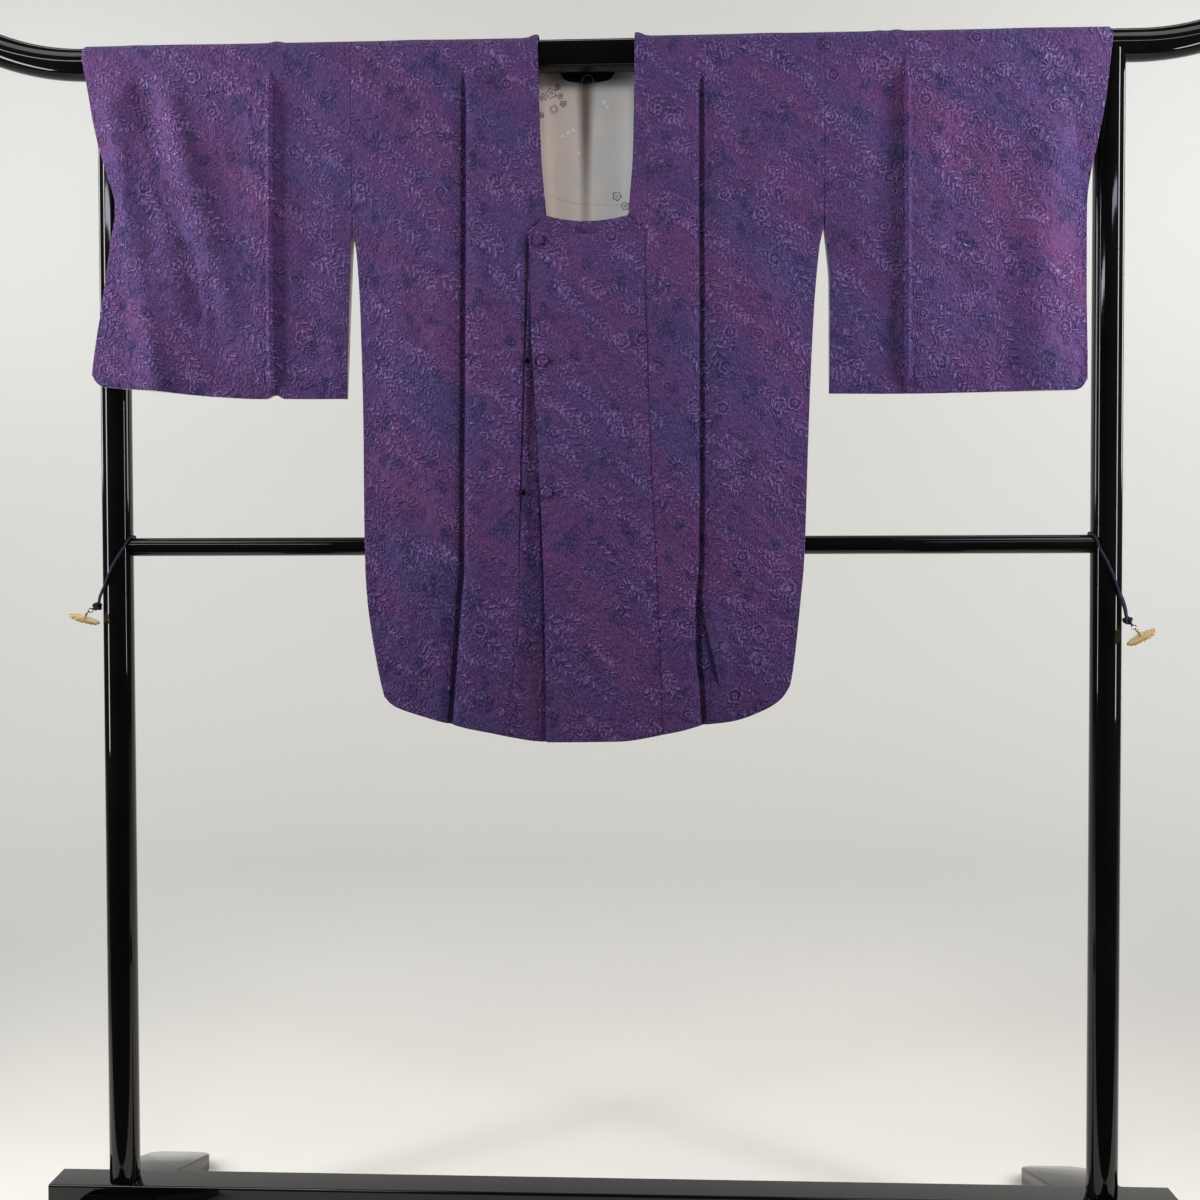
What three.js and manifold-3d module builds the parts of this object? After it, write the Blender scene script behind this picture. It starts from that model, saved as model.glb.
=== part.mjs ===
// A kimono coat with a square neck, hung over the top bar of a black lacquered kimono stand.
// Millimetres. +X runs to the wearer's left, +Y to the back, +Z up. The origin lies on the floor,
// midway between the stand's feet. "Left" and "right" are the wearer's.
import * as THREE from 'three';
import { mergeVertices } from 'three/addons/utils/BufferGeometryUtils.js';
import Module from 'manifold-3d';

const wasm = await Module();
wasm.setup();

// ---------------------------------------------------------------- driving dimensions

const FIT_GAP = 0.3;            // air between pieces that touch

const BAR = { radius: 20, height: 1554, halfLength: 850, bendFrom: 678, bendRadius: 334 };
const POST = { radius: 19.25, x: 644 };
const RAIL = { radius: 12, height: 921.5 };
const BEAM = { halfLength: 738, depth: 46, bottom: 28, top: 78, chamfer: 2 };
const FOOT = { halfLength: 200, width: 96, crest: 64, toe: 16, flat: 44, cornerRadius: 26 };
const CORD = { diameter: 3, knot: 5.2, knotTop: 6.7 };
const MEDALLION = { radius: 20, thickness: 4, petals: 14, petalDepth: 1.3, dome: 3, neck: 6.6 };

const CLOTH = 1.8;              // silk, interlining and lining together
const BAR_CLEARANCE = 0.6;      // between the bar and the cloth over it
const CENTRE_X = -21;           // the coat's centre back line
const LAP_STEP = 2.8;           // how far the lapped front panels stand off each other
const LINING = { thickness: 1, left: 60, right: -102, bodyLength: 878, highest: 9.5 };
const BUTTON = { radius: 7.5, height: 4.6 };
const SNAP = { radius: 3.4, flange: 1.1, stud: 1.3, height: 3 };
const LOOP = { thread: 1.1, width: 15, height: 12 };

const WRAP = BAR.radius + BAR_CLEARANCE;      // inside radius of the cloth over the bar
const QUARTER = WRAP * Math.PI / 2;           // arc from the shoulder line to the bar's side
const OVER_BAR = WRAP - FIT_GAP / 2;          // half the hollow where the cloth leaves the bar

// ---------------------------------------------------------------- tables of the garment's cut
// "drop" is the distance below the bar's axis. A cloth point is named by x and by s, its distance
// along the cloth from the shoulder line: negative down the front, positive down the back.

// Half the hollow between front and back, and the middle of that hollow from front to back.
// The coat swings forward on its way down, because its back lies on the front of the rail.
const BODY_DEPTH = [
  { drop: 0, half: OVER_BAR, edge: OVER_BAR, middle: 0 },
  { drop: 56, half: 20.2, edge: 19.4, middle: -0.2 },
  { drop: 80, half: 20, edge: 18.5, middle: -1.2 },
  { drop: 150, half: 19, edge: 14.5, middle: -3.8 },
  { drop: 232, half: 17.5, edge: 7, middle: -8 },
  { drop: 330, half: 16, edge: 0.1, middle: -13.5 },
  { drop: 450, half: 14, edge: 0, middle: -20 },
  { drop: 600, half: 12, edge: 0, middle: -28.6 },
  { drop: 680, half: 11.6, edge: 0, middle: -28.6 },
  { drop: 900, half: 11, edge: 0, middle: -27 },
];
const SLEEVE_DEPTH = [
  { drop: 0, half: OVER_BAR, inner: OVER_BAR, cuff: OVER_BAR, middle: 0 },
  { drop: 56, half: OVER_BAR, inner: 19.4, cuff: OVER_BAR, middle: -0.2 },
  { drop: 80, half: 20, inner: 18.5, cuff: 19.5, middle: -1.2 },
  { drop: 150, half: 17, inner: 14.5, cuff: 9, middle: -3.8 },
  { drop: 196, half: 14.5, inner: 10, cuff: 0.6, middle: -6 },
  { drop: 232, half: 13, inner: 7, cuff: 0.1, middle: -8 },
  { drop: 330, half: 9, inner: 4.5, cuff: 0, middle: -9.5 },
  { drop: 400, half: 6, inner: 3.4, cuff: 0, middle: -10 },
  { drop: 442, half: 0, inner: 0, cuff: 0, middle: -10 },
];

// Side seams of the body, with the armhole above, and the crease pressed down each front.
const BODY_RIGHT_LINES = [
  { drop: 0, side: -323.6, crease: -178.5 },
  { drop: 225, side: -323.6, crease: -179 },
  { drop: 252, side: -319.5, crease: -179 },
  { drop: 345, side: -314.4, crease: -179.3 },
  { drop: 516, side: -309.2, crease: -179.7 },
  { drop: 660, side: -307.2, crease: -180.5 },
  { drop: 702, side: -304.8, crease: -184 },
  { drop: 780, side: -293.9, crease: -190.5 },
  { drop: 827, side: -283.7, crease: -194.5 },
  { drop: 872, side: -266, crease: -197.5 },
];
const BODY_LEFT_LINES = [
  { drop: 0, side: 281, crease: 126.3 },
  { drop: 225, side: 281, crease: 126 },
  { drop: 252, side: 276.2, crease: 126 },
  { drop: 345, side: 268.4, crease: 126 },
  { drop: 516, side: 260.2, crease: 125.8 },
  { drop: 660, side: 254.8, crease: 124.5 },
  { drop: 702, side: 251, crease: 121.5 },
  { drop: 780, side: 243, crease: 121 },
  { drop: 811, side: 238, crease: 125 },
  { drop: 872, side: 212, crease: 128 },
];

// Seams between each body panel and its neck band or lapped front panel.
const RIGHT_FRONT_SEAM = [
  { drop: 0, x: -96 },
  { drop: 233, x: -95.6 },
  { drop: 320, x: -97.6 },
  { drop: 397, x: -100.6 },
  { drop: 566, x: -105.2 },
  { drop: 728, x: -108.1 },
  { drop: 877, x: -126.5 },
];
const LEFT_FRONT_SEAM = [
  { drop: 0, x: 54 },
  { drop: 245, x: 54 },
  { drop: 448, x: 58.5 },
  { drop: 576, x: 63.4 },
  { drop: 703, x: 69.7 },
  { drop: 877, x: 75.5 },
];
const OVERLAP_EDGE = [
  { drop: 233, x: -92.6 },
  { drop: 358, x: -91.2 },
  { drop: 396, x: -89.4 },
  { drop: 537, x: -80.8 },
  { drop: 703, x: -74.7 },
  { drop: 886, x: -72.6 },
];
const UNDERLAP_EDGE = [
  { drop: 233, x: 44 },
  { drop: 886, x: 46 },
];

// The neck, from the bar's back side down to the centre back: its seam and its folded edge.
const BACK_NECK = [
  { out: 75, seamDrop: 0, edgeOut: 61.8, edgeDrop: 0 },
  { out: 67, seamDrop: 7, edgeOut: 55.5, edgeDrop: 3 },
  { out: 52, seamDrop: 15, edgeOut: 43, edgeDrop: 6.4 },
  { out: 27, seamDrop: 24, edgeOut: 23, edgeDrop: 9.6 },
  { out: 0, seamDrop: 28, edgeOut: 0, edgeDrop: 11 },
];
const NECK_SIDE_EDGE = [
  { drop: 0, right: -82.8, left: 40.8 },
  { drop: 128, right: -78.8, left: 38.7 },
  { drop: 212, right: -72, left: 32.4 },
];
const NECK_FRONT = { edgeDrop: 212, sag: 8.6, seamDrop: 233, seamSag: 3.4 };

// Hems, as drop by x.
const BODY_HEM = [
  { x: -283, drop: 828 },
  { x: -276, drop: 836 },
  { x: -266, drop: 842 },
  { x: -216, drop: 857 },
  { x: -149, drop: 872 },
  { x: -73, drop: 884 },
  { x: 17, drop: 883 },
  { x: 92, drop: 871 },
  { x: 128, drop: 862 },
  { x: 168, drop: 856.5 },
  { x: 208, drop: 842 },
  { x: 228, drop: 828 },
  { x: 238, drop: 812 },
];
const SLEEVE_RIGHT_HEM = [
  { x: -665, drop: 410 },
  { x: -661, drop: 418 },
  { x: -652, drop: 424 },
  { x: -588, drop: 430 },
  { x: -508, drop: 437 },
  { x: -440, drop: 440.3 },
  { x: -428, drop: 435.5 },
  { x: -416, drop: 440.3 },
  { x: -330, drop: 441 },
];
const SLEEVE_LEFT_HEM = [
  { x: 288, drop: 439 },
  { x: 387, drop: 440 },
  { x: 504, drop: 438.5 },
  { x: 600, drop: 437 },
  { x: 609, drop: 433 },
  { x: 614, drop: 424 },
];

// Edges of the sleeves. The right cuff's back layer passes the post on its inner side, because
// below the slit both layers hang in front of the post.
const SLEEVE_RIGHT_LINES = [
  { drop: 0, front: -675.5, back: -675.5, inner: -323.75, fold: -428 },
  { drop: 50, front: -666.4, back: -650, inner: -323.75, fold: -428 },
  { drop: 80, front: -661.5, back: -620.5, inner: -323.75, fold: -428.3 },
  { drop: 111, front: -655.3, back: -620, inner: -323.75, fold: -428.6 },
  { drop: 150, front: -643, back: -620, inner: -323.75, fold: -429 },
  { drop: 173, front: -635, back: -620, inner: -323.75, fold: -429 },
  { drop: 189, front: -631.5, back: -627, inner: -323.75, fold: -429 },
  { drop: 204, front: -632.6, back: -632.6, inner: -323.75, fold: -429.3 },
  { drop: 230, front: -637.5, back: -637.5, inner: -325.5, fold: -429.6 },
  { drop: 312, front: -650.6, back: -650.6, inner: -329, fold: -430 },
  { drop: 406, front: -665.5, back: -665.5, inner: -332.4, fold: -430.5 },
  { drop: 442, front: -668, back: -668, inner: -333.4, fold: -430.7 },
];
const SLEEVE_LEFT_LINES = [
  { drop: 0, front: 640, back: 640, inner: 281.15, fold: 383.5 },
  { drop: 60, front: 633.5, back: 630, inner: 281.15, fold: 383.7 },
  { drop: 100, front: 628, back: 620, inner: 281.15, fold: 384 },
  { drop: 131, front: 623, back: 617, inner: 281.15, fold: 384.3 },
  { drop: 161, front: 617.6, back: 615, inner: 281.15, fold: 384.5 },
  { drop: 206, front: 614, back: 614, inner: 281.15, fold: 384.8 },
  { drop: 232, front: 613.5, back: 613.5, inner: 283.5, fold: 385 },
  { drop: 300, front: 613.4, back: 613.4, inner: 289, fold: 385.4 },
  { drop: 416, front: 615, back: 615, inner: 289.2, fold: 386 },
  { drop: 442, front: 615, back: 615, inner: 289, fold: 386.2 },
];

// Small lifts of the cloth where it gathers on top of the bar.
const SHOULDER_PUCKERS = [
  { x: -86, rise: 2.4, width: 13 },
  { x: 44, rise: 2.6, width: 13 },
  { x: -424, rise: 1.7, width: 9 },
  { x: 374, rise: 1.8, width: 9 },
  { x: 352, rise: 1, width: 7 },
  { x: -560, rise: 0.6, width: 40 },
  { x: 540, rise: 0.6, width: 40 },
];

// Folds that run down the cloth: "out" is how far the cloth swells (+) or sinks (-).
const FOLDS = [
  { side: -1, topX: -203, top: 60, bottomX: -213, bottom: 880, width: 15, out: 2 },
  { side: -1, topX: -154, top: 60, bottomX: -170, bottom: 880, width: 15, out: 2 },
  { side: -1, topX: 101, top: 60, bottomX: 103, bottom: 880, width: 15, out: 2 },
  { side: -1, topX: 151, top: 60, bottomX: 158, bottom: 880, width: 15, out: 2 },
  { side: -1, topX: 126, top: 640, bottomX: 150, bottom: 810, width: 7, out: -5 },
  { side: -1, topX: -104, top: 225, bottomX: -114, bottom: 600, width: 7, out: 2.6 },
  { side: -1, topX: -438, top: 14, bottomX: -440, bottom: 438, width: 9, out: 4.6 },
  { side: -1, topX: -417, top: 14, bottomX: -420, bottom: 438, width: 9, out: -3.6 },
  { side: -1, topX: 375, top: 14, bottomX: 377, bottom: 436, width: 9, out: -3.6 },
  { side: -1, topX: 394, top: 14, bottomX: 396, bottom: 436, width: 9, out: 4.6 },
  { side: -1, topX: -604, top: 30, bottomX: -584, bottom: 280, width: 15, out: -3.4 },
  { side: 1, topX: -436, top: 14, bottomX: -438, bottom: 430, width: 10, out: 3 },
  { side: 1, topX: 392, top: 14, bottomX: 394, bottom: 430, width: 10, out: 3 },
];
const CREASE = { frontDepth: 8.6, backDepth: 4.6, width: 6.2 };

const COVERED_BUTTONS = [
  { name: 'button_top', x: -82.5, drop: 245 },
  { name: 'button_middle', x: -76.5, drop: 399 },
  { name: 'button_low', x: -71, drop: 566 },
];
const SNAPS = [
  { name: 'snap_upper', x: -96.6, drop: 397 },
  { name: 'snap_lower', x: -100.9, drop: 566 },
];

// Cords looped round the posts: the knot's bearing round the post, from its inner side by the
// front, the knot's height, how far it sinks below the cord's ends, and where the medallion hangs
// from it.
const CORD_LOOPS = [
  { side: 'right', sign: -1, bearing: 150, knotHeight: 843, sink: -0.3, hang: [-11.5, -12, -15], tilt: 20 },
  { side: 'left', sign: 1, bearing: 150, knotHeight: 824, sink: 0.2, hang: [11.5, -13, -20], tilt: -30 },
];

// ---------------------------------------------------------------- numbers along a table

// A smooth curve through a table's rows that never overshoots them (monotone cubic).
function along(rows, key, value) {
  const xs = rows.map((row) => row[key]);
  const ys = rows.map((row) => row[value]);
  const slopes = xs.slice(1).map((x, i) => (ys[i + 1] - ys[i]) / (x - xs[i]));
  const tangents = xs.map((_, i) => {
    const before = slopes[i - 1] ?? slopes[0];
    const after = slopes[i] ?? slopes[slopes.length - 1];
    return before * after <= 0 ? 0 : 2 * before * after / (before + after);
  });
  return (at) => {
    if (at <= xs[0]) return ys[0];
    if (at >= xs[xs.length - 1]) return ys[ys.length - 1];
    const i = xs.findIndex((x, k) => at < xs[k + 1]);
    const span = xs[i + 1] - xs[i];
    const t = (at - xs[i]) / span;
    const ease = t * t * (3 - 2 * t);
    const lead = t * (1 - t) * (1 - t) * span;
    const tail = t * t * (1 - t) * span;
    return ys[i] + (ys[i + 1] - ys[i]) * ease + tangents[i] * lead - tangents[i + 1] * tail;
  };
}

const mix = (a, b, t) => a + (b - a) * t;
const ramp = (value, from, to) => THREE.MathUtils.smoothstep(value, from, to);
const bell = (offset, width) => Math.exp(-((offset / width) ** 2));
const radians = THREE.MathUtils.degToRad;
const steps = (count) => Array.from({ length: count + 1 }, (_, i) => i / count);

// ---------------------------------------------------------------- how the cloth hangs

function pucker(x) {
  return SHOULDER_PUCKERS.reduce((sum, row) => sum + row.rise * bell(x - row.x, row.width), 0);
}

function foldAt(x, drop, side) {
  return FOLDS.reduce((sum, row) => {
    if (row.side !== side) return sum;
    const centre = mix(row.topX, row.bottomX, (drop - row.top) / (row.bottom - row.top));
    const fade = ramp(drop, row.top - 12, row.top + 40) * (1 - ramp(drop, row.bottom - 30, row.bottom + 30));
    return sum + row.out * fade * bell(x - centre, row.width);
  }, 0);
}

const bodyHalf = along(BODY_DEPTH, 'drop', 'half');
const bodyEdge = along(BODY_DEPTH, 'drop', 'edge');
const bodyMiddle = along(BODY_DEPTH, 'drop', 'middle');
const rightSide = along(BODY_RIGHT_LINES, 'drop', 'side');
const leftSide = along(BODY_LEFT_LINES, 'drop', 'side');
const rightCrease = along(BODY_RIGHT_LINES, 'drop', 'crease');
const leftCrease = along(BODY_LEFT_LINES, 'drop', 'crease');

// The body: a shallow tube whose front and back come together at the side seams.
function bodyShape(x, drop, side) {
  const inboard = Math.min(x - rightSide(drop), leftSide(drop) - x);
  const half = mix(bodyEdge(drop), bodyHalf(drop), ramp(inboard, 0, 95));
  const depth = side < 0 ? CREASE.frontDepth : CREASE.backDepth;
  const creases = bell(x - rightCrease(drop), CREASE.width) + bell(x - leftCrease(drop), CREASE.width);
  const relief = foldAt(x, drop, side) - depth * ramp(drop, 10, 90) * creases;
  return { middle: bodyMiddle(drop), half, relief };
}

const sleeveHalf = along(SLEEVE_DEPTH, 'drop', 'half');
const sleeveInner = along(SLEEVE_DEPTH, 'drop', 'inner');
const sleeveCuff = along(SLEEVE_DEPTH, 'drop', 'cuff');
const sleeveMiddle = along(SLEEVE_DEPTH, 'drop', 'middle');

// A sleeve: a bag, open at the armhole and at the cuff's slit. Below the slit the right one's
// outer edge is led in front of the post.
function sleeveShape(lines, passesPost) {
  const front = along(lines, 'drop', 'front');
  const back = along(lines, 'drop', 'back');
  const inner = along(lines, 'drop', 'inner');
  return (x, drop, side) => {
    const cuff = side < 0 ? front(drop) : back(drop);
    const fromCuff = Math.abs(cuff - x);
    const fromBody = Math.abs(x - inner(drop));
    const atCuff = mix(sleeveCuff(drop), sleeveHalf(drop), ramp(fromCuff, 0, 80));
    let half = mix(sleeveInner(drop), atCuff, ramp(fromBody, 0, 90));
    let middle = sleeveMiddle(drop);
    if (passesPost) {
      const nearPost = ramp(Math.abs(x), 500, 600) * ramp(drop, 78, 168);
      const ahead = -(POST.radius + CLOTH + FIT_GAP * 2);
      middle = mix(middle, ahead, nearPost);
      half = mix(half, 0.1, nearPost * (1 - ramp(fromCuff, 30, 110)));
    }
    const closing = ramp(half, 0.5, 6);
    return { middle, half, relief: foldAt(x, drop, side) * closing };
  };
}

// A point of the cloth's inner face, moved out by "lift".
function drape(shape, x, s, lift) {
  const reach = Math.abs(s);
  if (reach <= QUARTER) {
    const angle = s / WRAP;
    const radius = WRAP + lift + pucker(x) * Math.cos(angle) ** 2;
    return new THREE.Vector3(x, radius * Math.sin(angle), BAR.height + radius * Math.cos(angle));
  }
  const side = Math.sign(s);
  const drop = reach - QUARTER;
  const { middle, half, relief } = shape(x, drop, side);
  const y = middle + side * (FIT_GAP / 2 + half + relief + lift);
  return new THREE.Vector3(x, y, BAR.height - drop);
}

// ---------------------------------------------------------------- solids

function meshOf(name, geometry, material) {
  const mesh = new THREE.Mesh(geometry, material);
  mesh.name = name;
  return mesh;
}

// A geometry from shared points and triangles, turned so that its faces point out.
function closedGeometry(points, triangles) {
  let volume = 0;
  for (const [a, b, c] of triangles) {
    volume += points[a].dot(new THREE.Vector3().crossVectors(points[b], points[c]));
  }
  const index = triangles.flatMap(([a, b, c]) => (volume > 0 ? [a, b, c] : [a, c, b]));
  const geometry = new THREE.BufferGeometry();
  geometry.setAttribute('position', new THREE.Float32BufferAttribute(points.flatMap((p) => p.toArray()), 3));
  geometry.setIndex(index);
  return geometry;
}

// A wall between two grids of points with the same rows and columns.
function wall(inner, outer) {
  const rows = inner.length;
  const columns = inner[0].length;
  const points = [...inner.flat(), ...outer.flat()];
  const at = (layer, row, column) => layer * rows * columns + row * columns + column;
  const triangles = [];
  const quad = (a, b, c, d) => triangles.push([a, b, c], [a, c, d]);
  for (let r = 0; r < rows - 1; r += 1) {
    for (let c = 0; c < columns - 1; c += 1) {
      quad(at(0, r, c), at(0, r, c + 1), at(0, r + 1, c + 1), at(0, r + 1, c));
      quad(at(1, r, c), at(1, r + 1, c), at(1, r + 1, c + 1), at(1, r, c + 1));
    }
    quad(at(0, r, 0), at(0, r + 1, 0), at(1, r + 1, 0), at(1, r, 0));
    quad(at(0, r + 1, columns - 1), at(0, r, columns - 1), at(1, r, columns - 1), at(1, r + 1, columns - 1));
  }
  for (let c = 0; c < columns - 1; c += 1) {
    quad(at(0, 0, c + 1), at(0, 0, c), at(1, 0, c), at(1, 0, c + 1));
    quad(at(0, rows - 1, c), at(0, rows - 1, c + 1), at(1, rows - 1, c + 1), at(1, rows - 1, c));
  }
  return closedGeometry(points, triangles);
}

// A cloth piece from a grid of places {x, s}, with its lift off the shape and its thickness.
function clothWall(shape, places, lift = () => 0, thickness = CLOTH) {
  const layer = (extra) => places.map((row) => row.map(({ x, s }) => (
    drape(shape, x, s, lift(x, Math.abs(s) - QUARTER) + extra)
  )));
  return wall(layer(0), layer(thickness));
}

// A solid through rings of points, closed at both ends.
function loft(rings) {
  const count = rings[0].length;
  const points = rings.flat();
  const triangles = [];
  for (let r = 0; r < rings.length - 1; r += 1) {
    for (let k = 0; k < count; k += 1) {
      const next = (k + 1) % count;
      triangles.push([r * count + k, r * count + next, (r + 1) * count + next]);
      triangles.push([r * count + k, (r + 1) * count + next, (r + 1) * count + k]);
    }
  }
  for (const end of [0, rings.length - 1]) {
    const centre = new THREE.Vector3();
    rings[end].forEach((p) => centre.addScaledVector(p, 1 / count));
    points.push(centre);
    for (let k = 0; k < count; k += 1) {
      const pair = [end * count + k, end * count + ((k + 1) % count)];
      triangles.push(end === 0 ? [points.length - 1, pair[1], pair[0]] : [points.length - 1, ...pair]);
    }
  }
  return closedGeometry(points, triangles);
}

function toManifold(geometry) {
  const bare = geometry.clone();
  bare.deleteAttribute('normal');
  bare.deleteAttribute('uv');
  const merged = mergeVertices(bare, 1e-4);
  return new wasm.Manifold(new wasm.Mesh({
    numProp: 3,
    vertProperties: new Float32Array(merged.attributes.position.array),
    triVerts: new Uint32Array(merged.index.array),
  }));
}

function fromManifold(manifold) {
  const { vertProperties, triVerts } = manifold.getMesh();
  const geometry = new THREE.BufferGeometry();
  geometry.setAttribute('position', new THREE.Float32BufferAttribute(vertProperties, 3));
  geometry.setIndex(Array.from(triVerts));
  return geometry;
}

// A round rod from one point to another.
function rod(radius, from, to, sides = 36) {
  const length = from.distanceTo(to);
  const geometry = new THREE.CylinderGeometry(radius, radius, length, sides);
  const turn = new THREE.Quaternion().setFromUnitVectors(
    new THREE.Vector3(0, 1, 0),
    to.clone().sub(from).normalize(),
  );
  geometry.applyQuaternion(turn);
  const middle = from.clone().add(to).multiplyScalar(0.5);
  return geometry.translate(middle.x, middle.y, middle.z);
}

// ---------------------------------------------------------------- the stand

const lacquer = () => new THREE.MeshStandardMaterial({ color: 0x0d0c0d, roughness: 0.18 });

// The top bar: straight between the posts, with both ends curving up and rounded off.
function topBar() {
  const arcAngle = Math.asin((BAR.halfLength - BAR.bendFrom) / BAR.bendRadius);
  const half = [{ x: 0, z: 0, angle: 0, radius: BAR.radius }];
  for (const t of steps(6)) {
    const angle = arcAngle * t;
    const x = BAR.bendFrom + BAR.bendRadius * Math.sin(angle);
    half.push({ x, z: BAR.bendRadius * (1 - Math.cos(angle)), angle, radius: BAR.radius });
  }
  const tip = half[half.length - 1];
  for (const turn of [35, 70]) {
    const out = BAR.radius * 0.6 * Math.sin(radians(turn));
    const x = tip.x + out * Math.cos(tip.angle);
    const radius = BAR.radius * Math.cos(radians(turn));
    half.push({ x, z: tip.z + out * Math.sin(tip.angle), angle: tip.angle, radius });
  }
  const mirrored = half.slice(1).reverse().map((p) => ({ ...p, x: -p.x, angle: -p.angle }));
  return loft([...mirrored, ...half].map(({ x, z, angle, radius }) => (
    Array.from({ length: 28 }, (_, k) => {
      const around = k / 28 * 2 * Math.PI;
      const up = radius * Math.cos(around);
      return new THREE.Vector3(
        x - up * Math.sin(angle),
        radius * Math.sin(around),
        BAR.height + z + up * Math.cos(angle),
      );
    })
  )));
}

// A post stands on the beam, and its top is coped to carry the bar.
function post(sign) {
  const x = sign * POST.x;
  const foot = new THREE.Vector3(x, 0, BEAM.top + FIT_GAP);
  const body = toManifold(rod(POST.radius, foot, new THREE.Vector3(x, 0, BAR.height)));
  const saddle = toManifold(rod(
    BAR.radius + FIT_GAP,
    new THREE.Vector3(x - 60, 0, BAR.height),
    new THREE.Vector3(x + 60, 0, BAR.height),
    72,
  ));
  return fromManifold(body.subtract(saddle));
}

// The middle rail, coped to the posts at both ends.
function middleRail() {
  const reach = POST.x - POST.radius / 2;
  const end = (x) => new THREE.Vector3(x, 0, RAIL.height);
  let rail = toManifold(rod(RAIL.radius, end(-reach), end(reach), 28));
  for (const sign of [-1, 1]) {
    const below = new THREE.Vector3(sign * POST.x, 0, RAIL.height - 40);
    const above = new THREE.Vector3(sign * POST.x, 0, RAIL.height + 40);
    rail = rail.subtract(toManifold(rod(POST.radius + FIT_GAP, below, above, 72)));
  }
  return fromManifold(rail);
}

// The base beam: a square bar with its long edges eased.
function baseBeam() {
  const { depth, bottom, top, chamfer, halfLength } = BEAM;
  const outline = [
    [-depth / 2 + chamfer, bottom], [depth / 2 - chamfer, bottom],
    [depth / 2, bottom + chamfer], [depth / 2, top - chamfer],
    [depth / 2 - chamfer, top], [-depth / 2 + chamfer, top],
    [-depth / 2, top - chamfer], [-depth / 2, bottom + chamfer],
  ];
  return loft([-halfLength, halfLength].map((x) => outline.map(([y, z]) => new THREE.Vector3(x, y, z))));
}

// A foot: a board with rounded corners that slopes to both toes, notched for the beam.
function foot(sign) {
  const { halfLength, width, crest, toe, flat, cornerRadius } = FOOT;
  const plan = new THREE.Shape();
  const corners = [[1, 1, 0], [-1, 1, 90], [-1, -1, 180], [1, -1, 270]];
  for (const [right, back, start] of corners) {
    const x = right * (width / 2 - cornerRadius);
    const y = back * (halfLength - cornerRadius);
    plan.absarc(x, y, cornerRadius, radians(start), radians(start + 90), false);
  }
  plan.closePath();
  const board = new THREE.ExtrudeGeometry(plan, { depth: crest, bevelEnabled: false, curveSegments: 7 });
  const side = new THREE.Shape([
    [-halfLength - 1, 0], [halfLength + 1, 0], [halfLength + 1, toe], [flat, crest],
    [-flat, crest], [-halfLength - 1, toe],
  ].map(([y, z]) => new THREE.Vector2(y, z)));
  const slopes = new THREE.ExtrudeGeometry(side, { depth: width + 2, bevelEnabled: false });
  slopes.rotateX(Math.PI / 2).rotateZ(Math.PI / 2).translate(-width / 2 - 1, 0, 0);
  const notch = new THREE.BoxGeometry(width + 4, BEAM.depth + 2 * FIT_GAP, BEAM.top);
  notch.translate(0, 0, BEAM.bottom - FIT_GAP + BEAM.top / 2);
  const shaped = toManifold(board).intersect(toManifold(slopes)).subtract(toManifold(notch));
  return fromManifold(shaped).translate(sign * POST.x, 0, 0);
}

// ---------------------------------------------------------------- cords on the stand

// The cord's centreline: from the knot up round the post's front, over the rail on the post's
// inner side, and down round its back to the knot again.
function cordRoute({ sign, bearing, knotHeight }) {
  const radius = POST.radius + CORD.diameter / 2 + 0.5;
  const top = RAIL.height + RAIL.radius + CORD.diameter / 2 + 0.8;
  const bottom = knotHeight + CORD.knot;
  const route = [];
  const start = bearing - 8;
  const end = -(360 - bearing) + 8;
  for (const t of steps(22)) {
    const angle = mix(start, end, t);
    const away = Math.abs(angle) / (angle > 0 ? start : -end);
    const swell = 1 + 0.16 * ramp(away, 0.78, 1);
    const y = -radius * swell * Math.sin(radians(angle));
    const overRail = RAIL.height + Math.sqrt(Math.max(0, (top - RAIL.height) ** 2 - y * y));
    route.push(new THREE.Vector3(
      sign * (POST.x - radius * swell * Math.cos(radians(angle))),
      y,
      Math.max(mix(top, bottom, away ** 1.6), Math.abs(angle) < 45 ? overRail : 0),
    ));
  }
  return new THREE.CatmullRomCurve3(route);
}

function knotCentre({ sign, bearing, knotHeight, sink }) {
  const radius = (POST.radius + CORD.diameter / 2 + 0.5) * 1.16 + 2;
  return new THREE.Vector3(
    sign * (POST.x - radius * Math.cos(radians(bearing))),
    -radius * Math.sin(radians(bearing)),
    knotHeight - sink,
  );
}

function cordLoop(row) {
  const section = new THREE.Shape();
  section.absarc(0, 0, CORD.diameter / 2, 0, 2 * Math.PI, false);
  const extrusion = { extrudePath: cordRoute(row), steps: 34, curveSegments: 4, bevelEnabled: false };
  return new THREE.ExtrudeGeometry(section, extrusion);
}

// A scalloped, slightly domed medallion with a short neck that takes the cord's knot.
function medallion(row) {
  const { radius, thickness, petals, petalDepth, dome, neck } = MEDALLION;
  const sides = petals * 2;
  const ring = (scale, z, scallop) => Array.from({ length: sides }, (_, k) => {
    const around = k / sides * 2 * Math.PI;
    const lobe = k % 2;
    const r = scale * (radius - scallop * petalDepth * 2 * (1 - lobe));
    return new THREE.Vector3(r * Math.cos(around), r * Math.sin(around), z);
  });
  const plate = loft([
    ring(0.1, neck, 0), ring(0.16, 5, 0), ring(0.14, 1.2, 0), ring(0.96, 0.3, 1),
    ring(1, -thickness * 0.35, 1), ring(0.82, -thickness * 0.8, 0.8), ring(0.3, -thickness - dome * 0.6, 0),
  ]);
  const centre = knotCentre(row).add(new THREE.Vector3(...row.hang));
  return plate.rotateY(radians(row.tilt)).translate(centre.x, centre.y, centre.z);
}

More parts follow.
